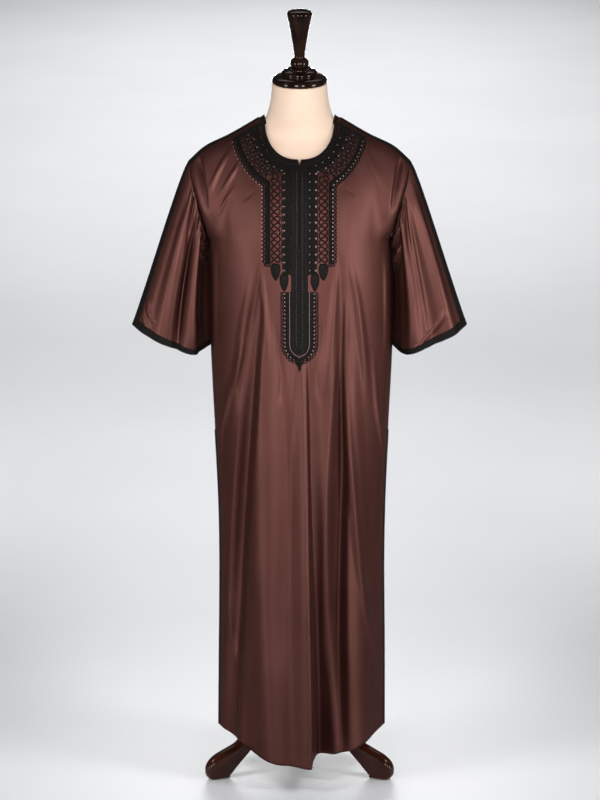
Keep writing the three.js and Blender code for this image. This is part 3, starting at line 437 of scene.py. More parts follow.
def top_edge(side, u):
    away = np.abs(u)
    hand = np.sign(u)
    out_x = mix(NECK_HALF, SHOULDER_TIP_X, (away - NECK_END_U) / (1 - NECK_END_U))
    shoulder = stack(hand * out_x, 0, smooth(SHOULDER, "x", out_x, "z"))
    angle = np.clip(away / NECK_END_U, 0, 1) * math.pi / 2
    low = np.maximum(0, np.cos(angle)) ** (2 / NECK_POWER)
    x = hand * NECK_HALF * np.sin(angle) ** (2 / NECK_POWER)
    ring = stack(x, -side * NECK_REACH[side] * low, NECK_Z - NECK_DROP[side] * low)
    return np.where((away > NECK_END_U)[..., None], shoulder, ring)


def upper_curve(side, u):
    """The curve of each column above the armpit, as four control points."""
    away, hand = np.abs(u), np.sign(u)
    near_arm = ease(*NEAR_ARM_U, away)
    near_neck = 1 - ease(*NEAR_NECK_U, away)
    low = base_body(side, u, np.full_like(u, ARMPIT_Z))
    top = top_edge(side, u)
    full = 1 if side == FRONT else BACK_PULL
    low_pull = stack(
        hand * near_arm * LOW_PULL["aside"],
        -side * mix(*LOW_PULL["ahead"], near_arm),
        mix(*LOW_PULL["up"], near_arm),
    )
    top_pull = stack(
        hand * TOP_PULL["aside"] * bump(away - TOP_PULL["aside_u"][0], *TOP_PULL["aside_u"]),
        -side * full * mix(*TOP_PULL["ahead"], near_neck) * mix(1, TOP_PULL_AT_ARM["ahead"], near_arm),
        -mix(*TOP_PULL["down"], near_neck) - TOP_PULL_AT_ARM["down"] * near_arm,
    )
    return low, low + low_pull, top + top_pull, top


def base_panel(side, u, t):
    u, t = np.broadcast_arrays(np.asarray(u, float), np.asarray(t, float))
    body = base_body(side, u, mix(hem_z(side, u), ARMPIT_Z, np.minimum(t, 1)))
    upper = bezier(upper_curve(side, u), np.clip(t - 1, 0, 1))
    return np.where((t < 1)[..., None], body, upper)


def surface_normal(surface, a, b, a_low, a_high, b_high):
    step = 0.003
    across = surface(np.minimum(a_high, a + step), b) - surface(np.maximum(a_low, a - step), b)
    up = surface(a, np.minimum(b_high, b + step)) - surface(a, np.maximum(0, b - step))
    return unit(np.cross(across, up))


def panel_point(side, u, t):
    """A place on the finished cloth of a panel, with its folds."""
    u, t = np.broadcast_arrays(np.asarray(u, float), np.asarray(t, float))
    base = base_panel(side, u, t)
    normal = side * surface_normal(lambda a, b: base_panel(side, a, b), u, t, -1, 1, 2)
    x, z = base[..., 0], base[..., 2]
    rise, lean = fold_rise(FRONT_FOLDS if side == FRONT else BACK_FOLDS, x, z)
    edge = 1 - np.abs(u)
    fade = ease(0, mix(*FOLD_EDGE_FADE, ease(0, 600, z)), edge)
    top_fade = np.where(t > 1, ease(0, FOLD_TOP_FADE, 2 - t), 1)
    out = unit(mix(stack(0 * x, -side, 0), normal, ease(*NORMAL_FROM_Z, z)[..., None]))
    seam = -SEAM_DEPTH * np.exp(-((edge * BODY_HALF / SEAM_WIDTH) ** 2)) * (t < SEAM_END_T)
    point = base + out * ((rise * fade * top_fade + seam)[..., None])
    point[..., 0] += lean * fade
    return point


def sleeve_pull(end, amount, side):
    pull = SLEEVE_PULL[end]
    turn = amount * math.pi
    out = []
    for k in range(3):
        even = (pull["top"][k] + pull["under"][k]) / 2
        swing = (pull["top"][k] - pull["under"][k]) / 2 * np.cos(turn)
        out.append(even + swing + (pull["middle"][k] - even) * np.sin(turn))
    return stack(out[0], side * out[1], out[2])


def base_sleeve(around, share):
    """The sleeve's smooth form on the right side."""
    around, share = np.broadcast_arrays(np.asarray(around, float), np.asarray(share, float))
    wrapped = np.where(around > 1, around - 2, np.where(around < -1, around + 2, around))
    side = np.where(wrapped < 0, BACK, FRONT)
    amount = np.abs(wrapped)
    starts = {}
    for s in (FRONT, BACK):
        low, low_pull, top_pull, top = (p[0] for p in upper_curve(s, np.ones(1)))
        starts[s] = bezier((low, low_pull, top_pull, top), 1 - amount)
    start = np.where((side == FRONT)[..., None], starts[FRONT], starts[BACK])
    lift = np.where(side == BACK, CUFF_BACK_LIFT * np.sin(amount * math.pi), 0)
    end = stack(
        smooth(CUFF, "round", amount, "x"),
        -side * smooth(CUFF, "round", amount, "depth"),
        smooth(CUFF, "round", amount, "z") + lift,
    )
    from_armhole = start + sleeve_pull("armhole", amount, side)
    return bezier((start, from_armhole, end + sleeve_pull("cuff", amount, side), end), share)


def sleeve_point(hand, around, share):
    around, share = np.broadcast_arrays(np.asarray(around, float), np.asarray(share, float))
    base = base_sleeve(around, share)
    normal = surface_normal(base_sleeve, around, share, -9, 9, 1)
    rise = np.zeros_like(share)
    for rows in SLEEVE_FOLDS[hand]:
        near = (share >= rows[0]["share"]) & (share <= rows[-1]["share"])
        at = share[near]
        offset = around[near] - smooth(rows, "share", at, "at")
        offset = (offset + 1) % 2 - 1
        wide = smooth(rows, "share", at, "wide")
        rise[near] += smooth(rows, "share", at, "rise") * bump(offset, wide, wide)
    rise *= ease(0, SLEEVE_FOLD_FADE["armhole"], share)
    rise -= SEAM_DEPTH * np.exp(-((share * SLEEVE_LENGTH / SEAM_WIDTH) ** 2))
    from_under = 1 - np.abs((around + 1) % 2 - 1)
    rise *= ease(0, SLEEVE_FOLD_FADE["under"], from_under)
    point = base + normal * rise[..., None]
    line = base_sleeve(np.ones_like(share), share)
    edge = smooth(BODY, "z", line[..., 2], "half") + hand * smooth(BODY, "z", line[..., 2], "middle")
    under = bump(from_under, UNDER_SHARE, UNDER_SHARE)
    set_back = ease(0, UNDER_BACK_FROM, share)
    drawn = (line[..., 0] - edge - UNDER_CLEAR) * ease(0, UNDER_FROM, share) + UNDER_BEHIND * set_back
    point[..., 0] -= drawn * under
    point[..., 1] += UNDER_BACK * set_back * under
    point[..., 0] *= hand
    return point


# Meshes


def grid_faces(rows, columns, closed=False, flip=False):
    r = np.arange(rows - 1)[:, None] * columns
    c = np.arange(columns if closed else columns - 1)[None, :]
    after = (c + 1) % columns
    quads = np.stack([r + c, r + after, r + columns + after, r + columns + c], axis=-1).reshape(-1, 4)
    return quads[:, ::-1] if flip else quads


def grid_normals(grid, closed=False):
    if closed:
        across = np.roll(grid, -1, axis=1) - np.roll(grid, 1, axis=1)
    else:
        across = np.gradient(grid, axis=1)
    return unit(np.cross(across, np.gradient(grid, axis=0)))


def wall(top, bottom, faces):
    """A closed solid between two layers of places. faces are those of its top layer."""
    count = top.reshape(-1, 3).shape[0]
    edges = np.concatenate([faces[:, [k, (k + 1) % 4]] for k in range(4)])
    key = edges[:, 0] * 2 * count + edges[:, 1]
    partner = edges[:, 1] * 2 * count + edges[:, 0]
    # The rim stands on every edge of the top layer that no other face shares
    free = edges[~np.isin(key, partner)]
    rim = np.stack([free[:, 1], free[:, 0], free[:, 0] + count, free[:, 1] + count], axis=-1)
    points = np.concatenate([top.reshape(-1, 3), bottom.reshape(-1, 3)])
    return points, [np.concatenate([faces, faces[:, ::-1] + count, rim])]


def cloth_shell(grid, normals, closed=False, keep=None):
    """The cloth behind a grid of places. keep says which of its quads are there."""
    faces = grid_faces(*grid.shape[:2], closed)
    if keep is not None:
        faces = faces[keep.reshape(-1)]
    return wall(grid, grid - normals * CLOTH, faces)


def ribbon(places, normals, low, profile, flip=False):
    """A band over a grid of places: rows along it, columns across it."""
    faces = grid_faces(*places.shape[:2], flip=flip)
    return wall(places + normals * profile[None, :, None], places + normals * low, faces)


def turned_over(shape):
    points, faces = shape
    return points, [part[:, ::-1] for part in faces]


def fan(ring, tip):
    """Triangles from a ring of points to a tip."""
    return np.stack([ring, np.roll(ring, -1), np.full(len(ring), tip)], axis=1)


def joined(shapes):
    points, faces, start = [], [], 0
    for shape_points, shape_faces in shapes:
        points.append(shape_points)
        faces.extend(part + start for part in shape_faces)
        start += len(shape_points)
    return np.concatenate(points), faces


def make(name, shape, material, nodes=()):
    points, face_parts = shape
    mesh = bpy.data.meshes.new(name)
    faces = [face for part in face_parts for face in part.tolist()]
    mesh.from_pydata((points * MM).tolist(), [], faces)
    mesh.validate()
    mesh.update()
    mesh.polygons.foreach_set("use_smooth", [True] * len(mesh.polygons))
    mesh.materials.append(material)
    piece = bpy.data.objects.new(name, mesh)
    bpy.context.scene.collection.objects.link(piece)
    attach(piece, "root")
    if nodes:
        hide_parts(*nodes)


def tube(path, normals, radius, sides=6, closed=False):
    """A round cord along a path of places with surface normals."""
    if closed:
        tangent = unit(np.roll(path, -1, axis=0) - np.roll(path, 1, axis=0))
    else:
        tangent = unit(np.gradient(path, axis=0))
    side = unit(np.cross(tangent, normals))
    up = unit(np.cross(side, tangent))
    angle = np.arange(sides) / sides * 2 * math.pi
    ring = np.cos(angle)[None, :, None] * up[:, None] + np.sin(angle)[None, :, None] * side[:, None]
    points = (path[:, None] + ring * radius).reshape(-1, 3)
    count = len(path)
    if closed:
        return points, [grid_faces(count + 1, sides, closed=True) % (count * sides)]
    ends = np.stack([np.arange(sides)[::-1], (count - 1) * sides + np.arange(sides)])
    return points, [grid_faces(count, sides, closed=True), ends]


def distances(path):
    """How far along a path each of its places is."""
    return np.concatenate([[0], np.cumsum(np.linalg.norm(np.diff(path, axis=0), axis=1))])


def between(at, marks, values):
    """Rows of values at places between their marks."""
    return np.stack([np.interp(at, marks, column) for column in values.T], axis=1)


def resample(path, step):
    """The path again with even steps; path has two or three columns."""
    marks = distances(path)
    count = max(2, int(round(marks[-1] / step)) + 1)
    return between(np.linspace(0, marks[-1], count), marks, path)


def averaged(path, count):
    """Each place moved to the middle of its count neighbours, without the path's ends."""
    kernel = np.ones(count) / count
    return np.stack([np.convolve(column, kernel, mode="valid") for column in path.T], axis=1)


# Materials


def material(name, colour, roughness, **inputs):
    made = bpy.data.materials.new(name)
    made.use_nodes = True
    shader = made.node_tree.nodes["Principled BSDF"]
    shader.inputs["Base Color"].default_value = (*colour, 1)
    shader.inputs["Roughness"].default_value = roughness
    for key, value in inputs.items():
        shader.inputs[key.replace("_", " ")].default_value = value
    return made, made.node_tree, shader


def node(tree, kind, **settings):
    made = tree.nodes.new(kind)
    for key, value in settings.items():
        if key in made.inputs:
            made.inputs[key].default_value = value
        else:
            setattr(made, key, value)
    return made


def noise(tree, coordinates, scale, detail=4, stretch=(1, 1, 1)):
    mapping = node(tree, "ShaderNodeMapping")
    mapping.inputs["Scale"].default_value = stretch
    tree.links.new(coordinates.outputs["Object"], mapping.inputs["Vector"])
    made = node(tree, "ShaderNodeTexNoise", Scale=scale, Detail=detail)
    tree.links.new(mapping.outputs["Vector"], made.inputs["Vector"])
    return made


def ramp(tree, source, stops, target):
    """Colours along the source's values, led into a shader's socket."""
    made = tree.nodes.new("ShaderNodeValToRGB")
    elements = made.color_ramp.elements
    for k, (at, colour) in enumerate(stops):
        element = elements[k] if k < 2 else elements.new(at)
        element.position = at
        element.color = (*colour, 1)
    tree.links.new(source, made.inputs["Fac"])
    tree.links.new(made.outputs["Color"], target)


def grey(value):
    return (value, value, value)


def bump_node(tree, shader, height, strength, distance):
    made = node(tree, "ShaderNodeBump", Strength=strength, Distance=distance)
    tree.links.new(height, made.inputs["Height"])
    tree.links.new(made.outputs["Normal"], shader.inputs["Normal"])


def satin_material():
    made, tree, shader = material(
        "satin", (0.082, 0.032, 0.027), 0.48, Metallic=0.8, Coat_Weight=0.07, Coat_Roughness=0.36,
        Specular_IOR_Level=0.12, Sheen_Weight=0.008, Sheen_Roughness=0.3, Anisotropic=0.3,
    )
    shader.inputs["Specular Tint"].default_value = (0.2, 0.1, 0.08, 1)
    shader.inputs["Sheen Tint"].default_value = (1.0, 0.62, 0.55, 1)
    coordinates = node(tree, "ShaderNodeTexCoord")
    cloudy = noise(tree, coordinates, 7, 3)
    shades = [(0.3, (0.077, 0.028, 0.023)), (0.7, (0.093, 0.035, 0.029))]
    ramp(tree, cloudy.outputs["Fac"], shades, shader.inputs["Base Color"])
    ribs = noise(tree, coordinates, 900, 2, (1, 1, 0.12))
    slubs = noise(tree, coordinates, 60, 5, (1, 1, 0.25))
    both = node(tree, "ShaderNodeMath", operation="MULTIPLY_ADD")
    tree.links.new(slubs.outputs["Fac"], both.inputs[0])
    both.inputs[1].default_value = 0.6
    tree.links.new(ribs.outputs["Fac"], both.inputs[2])
    bump_node(tree, shader, both.outputs["Value"], 0.12, 0.0006)
    ramp(tree, slubs.outputs["Fac"], [(0.3, grey(0.46)), (0.7, grey(0.51))], shader.inputs["Roughness"])
    return made


def cord_material(name, dark, light, roughness):
    made, tree, shader = material(
        name, light, roughness, Specular_IOR_Level=0.08, Sheen_Weight=0.01, Sheen_Roughness=0.4
    )
    strands = noise(tree, node(tree, "ShaderNodeTexCoord"), 700, 3).outputs["Fac"]
    ramp(tree, strands, [(0.35, dark), (0.7, light)], shader.inputs["Base Color"])
    rough = [(0.3, grey(roughness + 0.08)), (0.7, grey(roughness - 0.06))]
    ramp(tree, strands, rough, shader.inputs["Roughness"])
    bump_node(tree, shader, strands, 0.5, 0.0004)
    return made


def cover_material():
    made, tree, shader = material(
        "cover", (0.86, 0.76, 0.66), 0.82, Specular_IOR_Level=0.25, Sheen_Weight=0.15
    )
    coordinates = node(tree, "ShaderNodeTexCoord")
    mottle = noise(tree, coordinates, 25, 4)
    shades = [(0.3, (0.68, 0.505, 0.39)), (0.7, (0.715, 0.54, 0.425))]
    ramp(tree, mottle.outputs["Fac"], shades, shader.inputs["Base Color"])
    knit = noise(tree, coordinates, 1300, 2, (1, 1, 0.5))
    bump_node(tree, shader, knit.outputs["Fac"], 0.2, 0.0004)
    return made


def wood_material(name, dark, light, roughness, stretch):
    made, tree, shader = material(
        name, light, roughness, Specular_IOR_Level=0.02, Coat_Weight=0.46, Coat_Roughness=0.03
    )
    grain = noise(tree, node(tree, "ShaderNodeTexCoord"), 60, 6, stretch).outputs["Fac"]
    ramp(tree, grain, [(0.35, dark), (0.68, light)], shader.inputs["Base Color"])
    rough = [(0.3, grey(roughness - 0.05)), (0.7, grey(roughness + 0.08))]
    ramp(tree, grain, rough, shader.inputs["Roughness"])
    bump_node(tree, shader, grain, 0.08, 0.0005)
    return made


SATIN = satin_material()
BLACK = cord_material("black_cord", (0.0035, 0.0026, 0.0024), (0.0095, 0.0074, 0.007), 0.6)
MAROON = cord_material("maroon_cord", (0.006, 0.0022, 0.0024), (0.016, 0.0055, 0.006), 0.55)
# Light thread for the stitches and dots, also used for the triangles that paint a highlight on the satin in
# the braid's gaps
STITCH_AND_HIGHLIGHT_PAINT = cord_material("light_stitch_and_painted_highlight", (0.22, 0.17, 0.16), (0.42, 0.34, 0.33), 0.5)
COVER = cover_material()
DARK_WOOD = wood_material("dark_wood", (0.006, 0.0025, 0.0018), (0.02, 0.008, 0.005), 0.2, (1, 1, 0.2))
WOOD = wood_material("wood", (0.024, 0.005, 0.0022), (0.05, 0.0118, 0.0048), 0.3, (0.3, 0.3, 0.5))


# Cloth pieces

PANEL_COLUMNS = {FRONT: 168, BACK: 112}
LOWER_ROWS = {FRONT: 190, BACK: 130}
UPPER_ROWS = {FRONT: 84, BACK: 70}
SLIT_U = 0.0025
NOTCH = {"width": 2.2, "depth": 8}
SLEEVE_AROUND = 104
SLEEVE_ALONG = 88
SLEEVE_START = 0.0016
# Where the panels' bends are turned into even curves: at the armpits' level, and beside the chest
ARMPIT_BEND = {"z": 1195, "below": 150, "above": 120, "rounds": 260}
CHEST_BEND = {"z": 1262, "below": 150, "above": 86, "x": 104, "beside": 46, "rounds": 200}
HEM_GROOVE = {"depth": 0.5, "width": 1.6}


def panel_columns(side):
    u = np.linspace(-1, 1, PANEL_COLUMNS[side] + 1)
    if side == FRONT:
        u = np.sort(np.concatenate([u[np.abs(u) > SLIT_U], [-SLIT_U, SLIT_U]]))
    return u


def softened(base):
    """How far the panel's depths move when its bends are turned into even curves."""
    depth = base[..., 1].copy()
    bend = ARMPIT_BEND
    share = 0.5 * bump(base[..., 2] - bend["z"], bend["below"], bend["above"])[1:-1]
    for _ in range(bend["rounds"]):
        depth[1:-1] += share * ((depth[:-2] + depth[2:]) / 2 - depth[1:-1])
    bend = CHEST_BEND
    level = bump(base[..., 2] - bend["z"], bend["below"], bend["above"])
    share = 0.5 * (level * bump(np.abs(base[..., 0]) - bend["x"], bend["beside"], bend["beside"]))[:, 1:-1]
    for _ in range(bend["rounds"]):
        depth[:, 1:-1] += share * ((depth[:, :-2] + depth[:, 2:]) / 2 - depth[:, 1:-1])
    return depth - base[..., 1]


def panel_grid(side):
    u = panel_columns(side)
    lower = np.linspace(0, 1, LOWER_ROWS[side] + 1)[:-1]
    t = np.concatenate([lower, 1 + np.linspace(0, 1, UPPER_ROWS[side] + 1)])[:, None]
    grid = panel_point(side, u[None, :], t)
    grid[..., 1] += softened(base_panel(side, u[None, :], t)) * ease(0, 0.16, 1 - np.abs(u))[None, :]
    stitch = grid[..., 2] - hem_z(side, u)[None, :] - HEM_STITCH
    grid[..., 1] += side * HEM_GROOVE["depth"] * np.exp(-((stitch / HEM_GROOVE["width"]) ** 2))
    return u, grid


def panel(side, name):
    u, grid = panel_grid(side)
    normals = side * grid_normals(grid)
    grid[..., 1] -= side * SEAM_GAP / 2
    keep = None
    if side == FRONT:
        above = grid[..., 2] - (NECK_Z - NECK_DROP[FRONT] - NOTCH["depth"])
        opens = NOTCH["width"] * np.clip(above / NOTCH["depth"], 0, 1) * bump(grid[..., 0], 12, 12)
        grid[..., 0] += np.sign(u)[None, :] * opens
        middle = (np.abs(u[:-1]) < SLIT_U * 1.01) & (np.abs(u[1:]) < SLIT_U * 1.01)
        keep = ~(middle[None, :] & (grid[:-1, :-1, 2] > SLIT_BOTTOM_Z))
    shape = cloth_shell(grid, normals, keep=keep)
    make(name, turned_over(shape) if side == BACK else shape, SATIN, [name])
    return grid, normals


def sleeve(hand, name):
    around = np.linspace(-1, 1, SLEEVE_AROUND + 1)[:-1]
    share = np.concatenate([[SLEEVE_START], np.linspace(0, 1, SLEEVE_ALONG + 1)[1:]])
    grid = sleeve_point(hand, around[None, :], share[:, None])
    shape = cloth_shell(grid, hand * grid_normals(grid, closed=True), closed=True)
    make(name, turned_over(shape) if hand == LEFT else shape, SATIN, [name])


front_grid, front_normals = panel(FRONT, "front_panel")
back_grid, back_normals = panel(BACK, "back_panel")
sleeve(LEFT, "left_sleeve")
sleeve(RIGHT, "right_sleeve")


# The front as a height over x and z, for what is sewn on it

MAP_STEP = 1.5
MAP_X = np.arange(-168, 168.1, MAP_STEP)
MAP_Z = np.arange(890, 1456, MAP_STEP)


def front_map():
    """The front's depth over a grid of x and z. Places off the cloth go on from the row below."""
    points = [Vector(p) for p in front_grid.reshape(-1, 3)]
    tree = BVHTree.FromPolygons(points, grid_faces(*front_grid.shape[:2]).tolist())
    ahead, ahead_of_all, reach, step_back = Vector((0, 1, 0)), -400, 420, 1.5
    heights = np.full((len(MAP_Z), len(MAP_X)), np.nan)
    for i, z in enumerate(MAP_Z):
        for j, x in enumerate(MAP_X):
            hit = tree.ray_cast(Vector((x, ahead_of_all, z)), ahead, reach)[0]
            if hit is not None:
                heights[i, j] = hit.y
    for below, row in zip(heights, heights[1:]):
        gap = np.isnan(row)
        row[gap] = below[gap] + step_back
    return heights


MAP_Y = front_map()


def blurred(values):
    rows, columns = values.shape
    padded = np.pad(values, 1, mode="edge")
    return sum(padded[i : i + rows, j : j + columns] for i in range(3) for j in range(3)) / 9


SLOPE_Z, SLOPE_X = np.gradient(blurred(MAP_Y), MAP_STEP)


def sampled(values, x, z):
    fx = np.clip((x - MAP_X[0]) / MAP_STEP, 0, len(MAP_X) - 1.001)
    fz = np.clip((z - MAP_Z[0]) / MAP_STEP, 0, len(MAP_Z) - 1.001)
    i, j = fz.astype(int), fx.astype(int)
    a, b = fz - i, fx - j
    return (
        values[i, j] * (1 - a) * (1 - b)
        + values[i + 1, j] * a * (1 - b)
        + values[i, j + 1] * (1 - a) * b
        + values[i + 1, j + 1] * a * b
    )


def on_front(flat, lift=0.0):
    """Places and normals on the front for points of x and z."""
    x, z = flat[..., 0], flat[..., 1]
    y = sampled(MAP_Y, x, z)
    normal = unit(stack(sampled(SLOPE_X, x, z), -1 + 0 * x, sampled(SLOPE_Z, x, z)))
    return stack(x, y, z) + normal * np.asarray(lift)[..., None], normal


def seated(radius, lift):
    """How high a cord's middle lies, so that it rests on the cloth unless a lift is given."""
    return radius * 0.8 + 0.3 if lift is None else lift


def cord(flat, radius, lift=None, step=1.2, closed=False):
    path = resample(flat, step)
    if closed:
        path = path[:-1]
    places, normals = on_front(path, seated(radius, lift))
    return tube(places, normals, radius, closed=closed)


def ring(centre, radius, thickness, count=14):
    angle = np.arange(count) / count * 2 * math.pi
    flat = np.stack([centre[0] + radius * np.cos(angle), centre[1] + radius * np.sin(angle)], axis=1)
    places, normals = on_front(flat, seated(thickness, None))
    return tube(places, normals, thickness, closed=True)


def bead(centre, radius, flatness=0.6, rings=4, sides=8, lift=0.2, start=0.0):
    """A small domed stitch or knot."""
    places, normals = on_front(np.array([[centre[0], centre[1]]], float), lift)
    place, normal = places[0], normals[0]
    side = unit(np.cross(normal, [0, 0, 1.0]))
    up = np.cross(side, normal)
    points = []
    for k in range(rings):
        tilt = k / rings * math.pi / 2
        for s in range(sides):
            turn = start + s / sides * 2 * math.pi
            out = side * math.cos(turn) + up * math.sin(turn)
            points.append(place + out * radius * math.cos(tilt) + normal * radius * flatness * math.sin(tilt))
    points.append(place + normal * radius * flatness)
    ring_points = np.arange(sides)
    top = fan((rings - 1) * sides + ring_points, rings * sides)
    return np.array(points), [grid_faces(rings, sides, closed=True), top, ring_points[None, ::-1]]


def strip(flat_left, flat_right, high, across, dome=0.0, profile=None, low=TRIM_LOW):
    """A band on the front between two edges with as many points."""
    share = np.linspace(0, 1, across + 1)
    flat = flat_left[:, None] * (1 - share)[None, :, None] + flat_right[:, None] * share[None, :, None]
    rise = high + dome * np.sin(share * math.pi)
    if profile is not None:
        rise = rise + profile(share)
    return ribbon(*on_front(flat), low, rise)


# Neck band: a ribbed band along the neckline, front and back


def neck_band():
    shapes = []
    along_share = np.linspace(0, 1, 9)
    for side in (FRONT, BACK):
        u = np.linspace(-NECK_END_U, NECK_END_U, 150)
        curve = upper_curve(side, u)
        reach = np.linalg.norm(curve[3] - curve[2], axis=1)
        t = 2 - ((NECK_BAND_WIDTH + 2) / (3 * reach))[:, None] * along_share[None, :]
        at = np.broadcast_arrays(u[:, None], t)
        places = panel_point(side, *at)
        normals = side * surface_normal(lambda a, b: base_panel(side, a, b), *at, -1, 1, 2)
        places[..., 1] -= side * SEAM_GAP / 2
        rib = 1.5 + 0.5 * np.abs(np.sin(along_share * math.pi * 2))
        rib = rib - 0.5 * (along_share < 0.05) - 0.5 * (along_share > 0.95)
        rib = rib[None, :] * mix(1, 0.3, ease(0.42, 0.5, np.abs(u)))[:, None]
        top = places + normals * rib[..., None]
        bottom = places - normals * CLOTH
        # The front's band is open over the slit
        keep = np.abs(u) > (0.007 if side == FRONT else -1)
        for part in (np.flatnonzero(keep & (u < 0)), np.flatnonzero(keep & (u >= 0))):
            faces = grid_faces(len(part), len(along_share), flip=side == BACK)
            shapes.append(wall(top[part], bottom[part], faces))
    return joined(shapes)


make("neck_band", neck_band(), BLACK, ["neck_band"])


# Placket


def neck_z_at(x):
    """Height of the neckline over x in front."""
    share = np.minimum(1, (np.abs(x) / NECK_HALF) ** (NECK_POWER / 2))
    low = np.cos(np.arcsin(share)) ** (2 / NECK_POWER)
    return NECK_Z - NECK_DROP[FRONT] * low


def placket_line(x, top_z):
    """A line down the placket at x and round towards the middle at its lower end."""
    round_z, drop = PLACKET["round_z"], PLACKET["round_z"] - PLACKET["bottom_z"]
    z = np.linspace(top_z, round_z, int((top_z - round_z) / 2))
    angle = np.linspace(0, math.pi / 2, 20)[1:-1]
    turn = np.stack([x * np.cos(angle), round_z - drop * x / PLACKET["half"] * np.sin(angle)], axis=1)
    return np.concatenate([np.stack([np.full_like(z, x), z], axis=1), turn])


def placket():
    """Two ribbed strips on each side of the slit, joined below it."""
    shapes = []
    top_z = neck_z_at(0) - NECK_BAND_WIDTH + 1.5
    for hand in (LEFT, RIGHT):
        for inner, outer, high in PLACKET["strips"]:
            edges = [placket_line(x, top_z) * (hand, 1) for x in (inner, outer)]
            if hand == RIGHT:
                edges.reverse()
            shapes.append(strip(*edges, high, 8, 0.25, lambda s: 0.25 * np.abs(np.sin(s * math.pi * 4))))
    z = np.linspace(SLIT_BOTTOM_Z + 1, PLACKET["bottom_z"] + 2, 110)
    seam = [np.stack([np.full_like(z, x), z], axis=1) for x in (1.6, -1.6)]
    shapes.append(strip(*seam, 1.5, 3, low=0.1))
    return joined(shapes)


make("placket", placket(), BLACK, ["placket"])


def placket_stitches():
    """Light stitches down both sides of the placket."""
    return [
        bead((hand * SLIT_STITCHES["x"], z), 0.5, 0.6, 3, 6, lift=2.1)
        for hand in (LEFT, RIGHT)
        for z in np.arange(*SLIT_STITCHES["z"], SLIT_STITCHES["pitch"])
    ]


# Rows of embroidery: each follows the neck band and then runs down beside the placket


def neck_offset(distance):
    """Right half of a ring outside the neckline as seen from the front, from the shoulder down."""
    edge = top_edge(FRONT, np.linspace(NECK_END_U, 0.0, 120))[:, [0, 2]]
    tangent = unit(np.gradient(edge, axis=0))
    normal = np.stack([-tangent[:, 1], tangent[:, 0]], axis=1)
    if normal[60] @ (edge[60] - np.array([0, NECK_Z])) < 0:
        normal = -normal
    return edge + normal * distance


YOKE_TOP_LINE = table("x z", (60, 1452), (90, 1438), (146, 1404), (160, 1398))


def row_path(start, end_z, hand, smoothing=9):
    """A row's line at a distance from the placket's edge and from the neck band."""
    column_x = COLUMN_START + start
    ring_part = neck_offset(NECK_BAND_WIDTH + 1 + start)
    limit = np.interp(ring_part[:, 0], [r["x"] for r in YOKE_TOP_LINE], [r["z"] for r in YOKE_TOP_LINE])
    ring_part = ring_part[(ring_part[:, 1] < limit) & (ring_part[:, 0] > column_x)]
    line = np.concatenate([ring_part, [[column_x, ring_part[-1, 1] - 1], [column_x, end_z]]])
    path = resample(line, 1.0)
    pad = smoothing // 2
    padded = np.pad(path, ((pad, pad), (0, 0)), mode="edge")
    padded[:pad] = path[0] - (path[1 : pad + 1] - path[0])[::-1]
    padded[-pad:] = path[-1] - (path[-pad - 1 : -1] - path[-1])[::-1]
    return averaged(padded, smoothing)[::-1] * np.array([hand, 1.0])


def along(path, at, aside=0.0):
    """Places at distances along a path, and aside of it."""
    marks = distances(path)
    tangent = unit(np.gradient(path, axis=0))
    outward = np.stack([tangent[:, 1], -tangent[:, 0]], axis=1)
    return between(at, marks, path) + np.asarray(aside)[..., None] * between(at, marks, outward)


def spot(path, at, aside=0.0):
    return along(path, np.array([at]), aside)[0]


def path_length(path):
    return np.linalg.norm(np.diff(path, axis=0), axis=1).sum()


def meander(path, start, end, pitch, half, bulge=2.02):
    """A cord that winds from side to side of a row in round lobes."""
    turns = max(1, int(round((end - start) / pitch)))
    pitch = (end - start) / turns
    share = np.linspace(0, 1, 41)
    heading = bulge * np.sin(2 * math.pi * share)
    ahead = np.concatenate([[0], np.cumsum((np.cos(heading[1:]) + np.cos(heading[:-1])) / 2)])
    aside = np.concatenate([[0], np.cumsum((np.sin(heading[1:]) + np.sin(heading[:-1])) / 2)])
    ahead = ahead / ahead[-1] * pitch
    aside = (aside / aside.max() * 2 - 1) * half
    at = np.concatenate([start + k * pitch + ahead[:-1] for k in range(turns)])
    return along(path, np.clip(at, 0, path_length(path)), np.tile(aside[:-1], turns))


# The rows of the yoke by their distances from the placket's edge
LOOP = {"row": 57.4, "pitch": 8.6, "radius": 3.2, "cord": 1.2}
GAP = {"pitch": 17, "half": 3.8, "depth": 5.8}
BRAID = {"inner": -3.6, "outer": 19.2, "edge": 0.9, "middle": 8.8, "swing": 4.2}
SERPENTINE = {"inner_cord": 20.0, "centre": 32.4, "half": 9.0, "pitch": 14.4, "radius": 1.75}
WINDINGS = {"rows": ((26.6, 0), (38.6, 3)), "between": 32.6, "pitch": 8.4, "half": 5.4, "bulge": 1.7}
OUTER_BAND = {"inner": 46.4, "outer": 54.6, "cords": ((45.4, 1.1), (48.0, 0.8), (50.2, 0.8))}
CORNER_LOOPS = ((53.5, 2.6), (47.2, 3.4))
BORDER_LINES = (
    ((61, 1443), (88, 1430), (115, 1415), (141, 1399.5)),
    ((63, 1452), (90, 1438.5), (118, 1423), (146, 1406.5)),
)
MITRE_TOP, MITRE_FALL = 1352, 37 / 61


def corner_at(path, start):
    """How far along a row its column meets the ring round the neck."""
    return np.interp(MITRE_TOP - MITRE_FALL * start, path[:, 1], distances(path))


def row_points(start, end_z, hand, step=1.2):
    """Places along a row, as many as every other row has, and their distance along it."""
    path = row_path(start, end_z, hand)
    corner = corner_at(path, start)
    count = int((MITRE_TOP - end_z) / step)
    at = np.concatenate([np.linspace(0, corner, count)[:-1], np.linspace(corner, path_length(path), 90)])
    return along(path, at), at


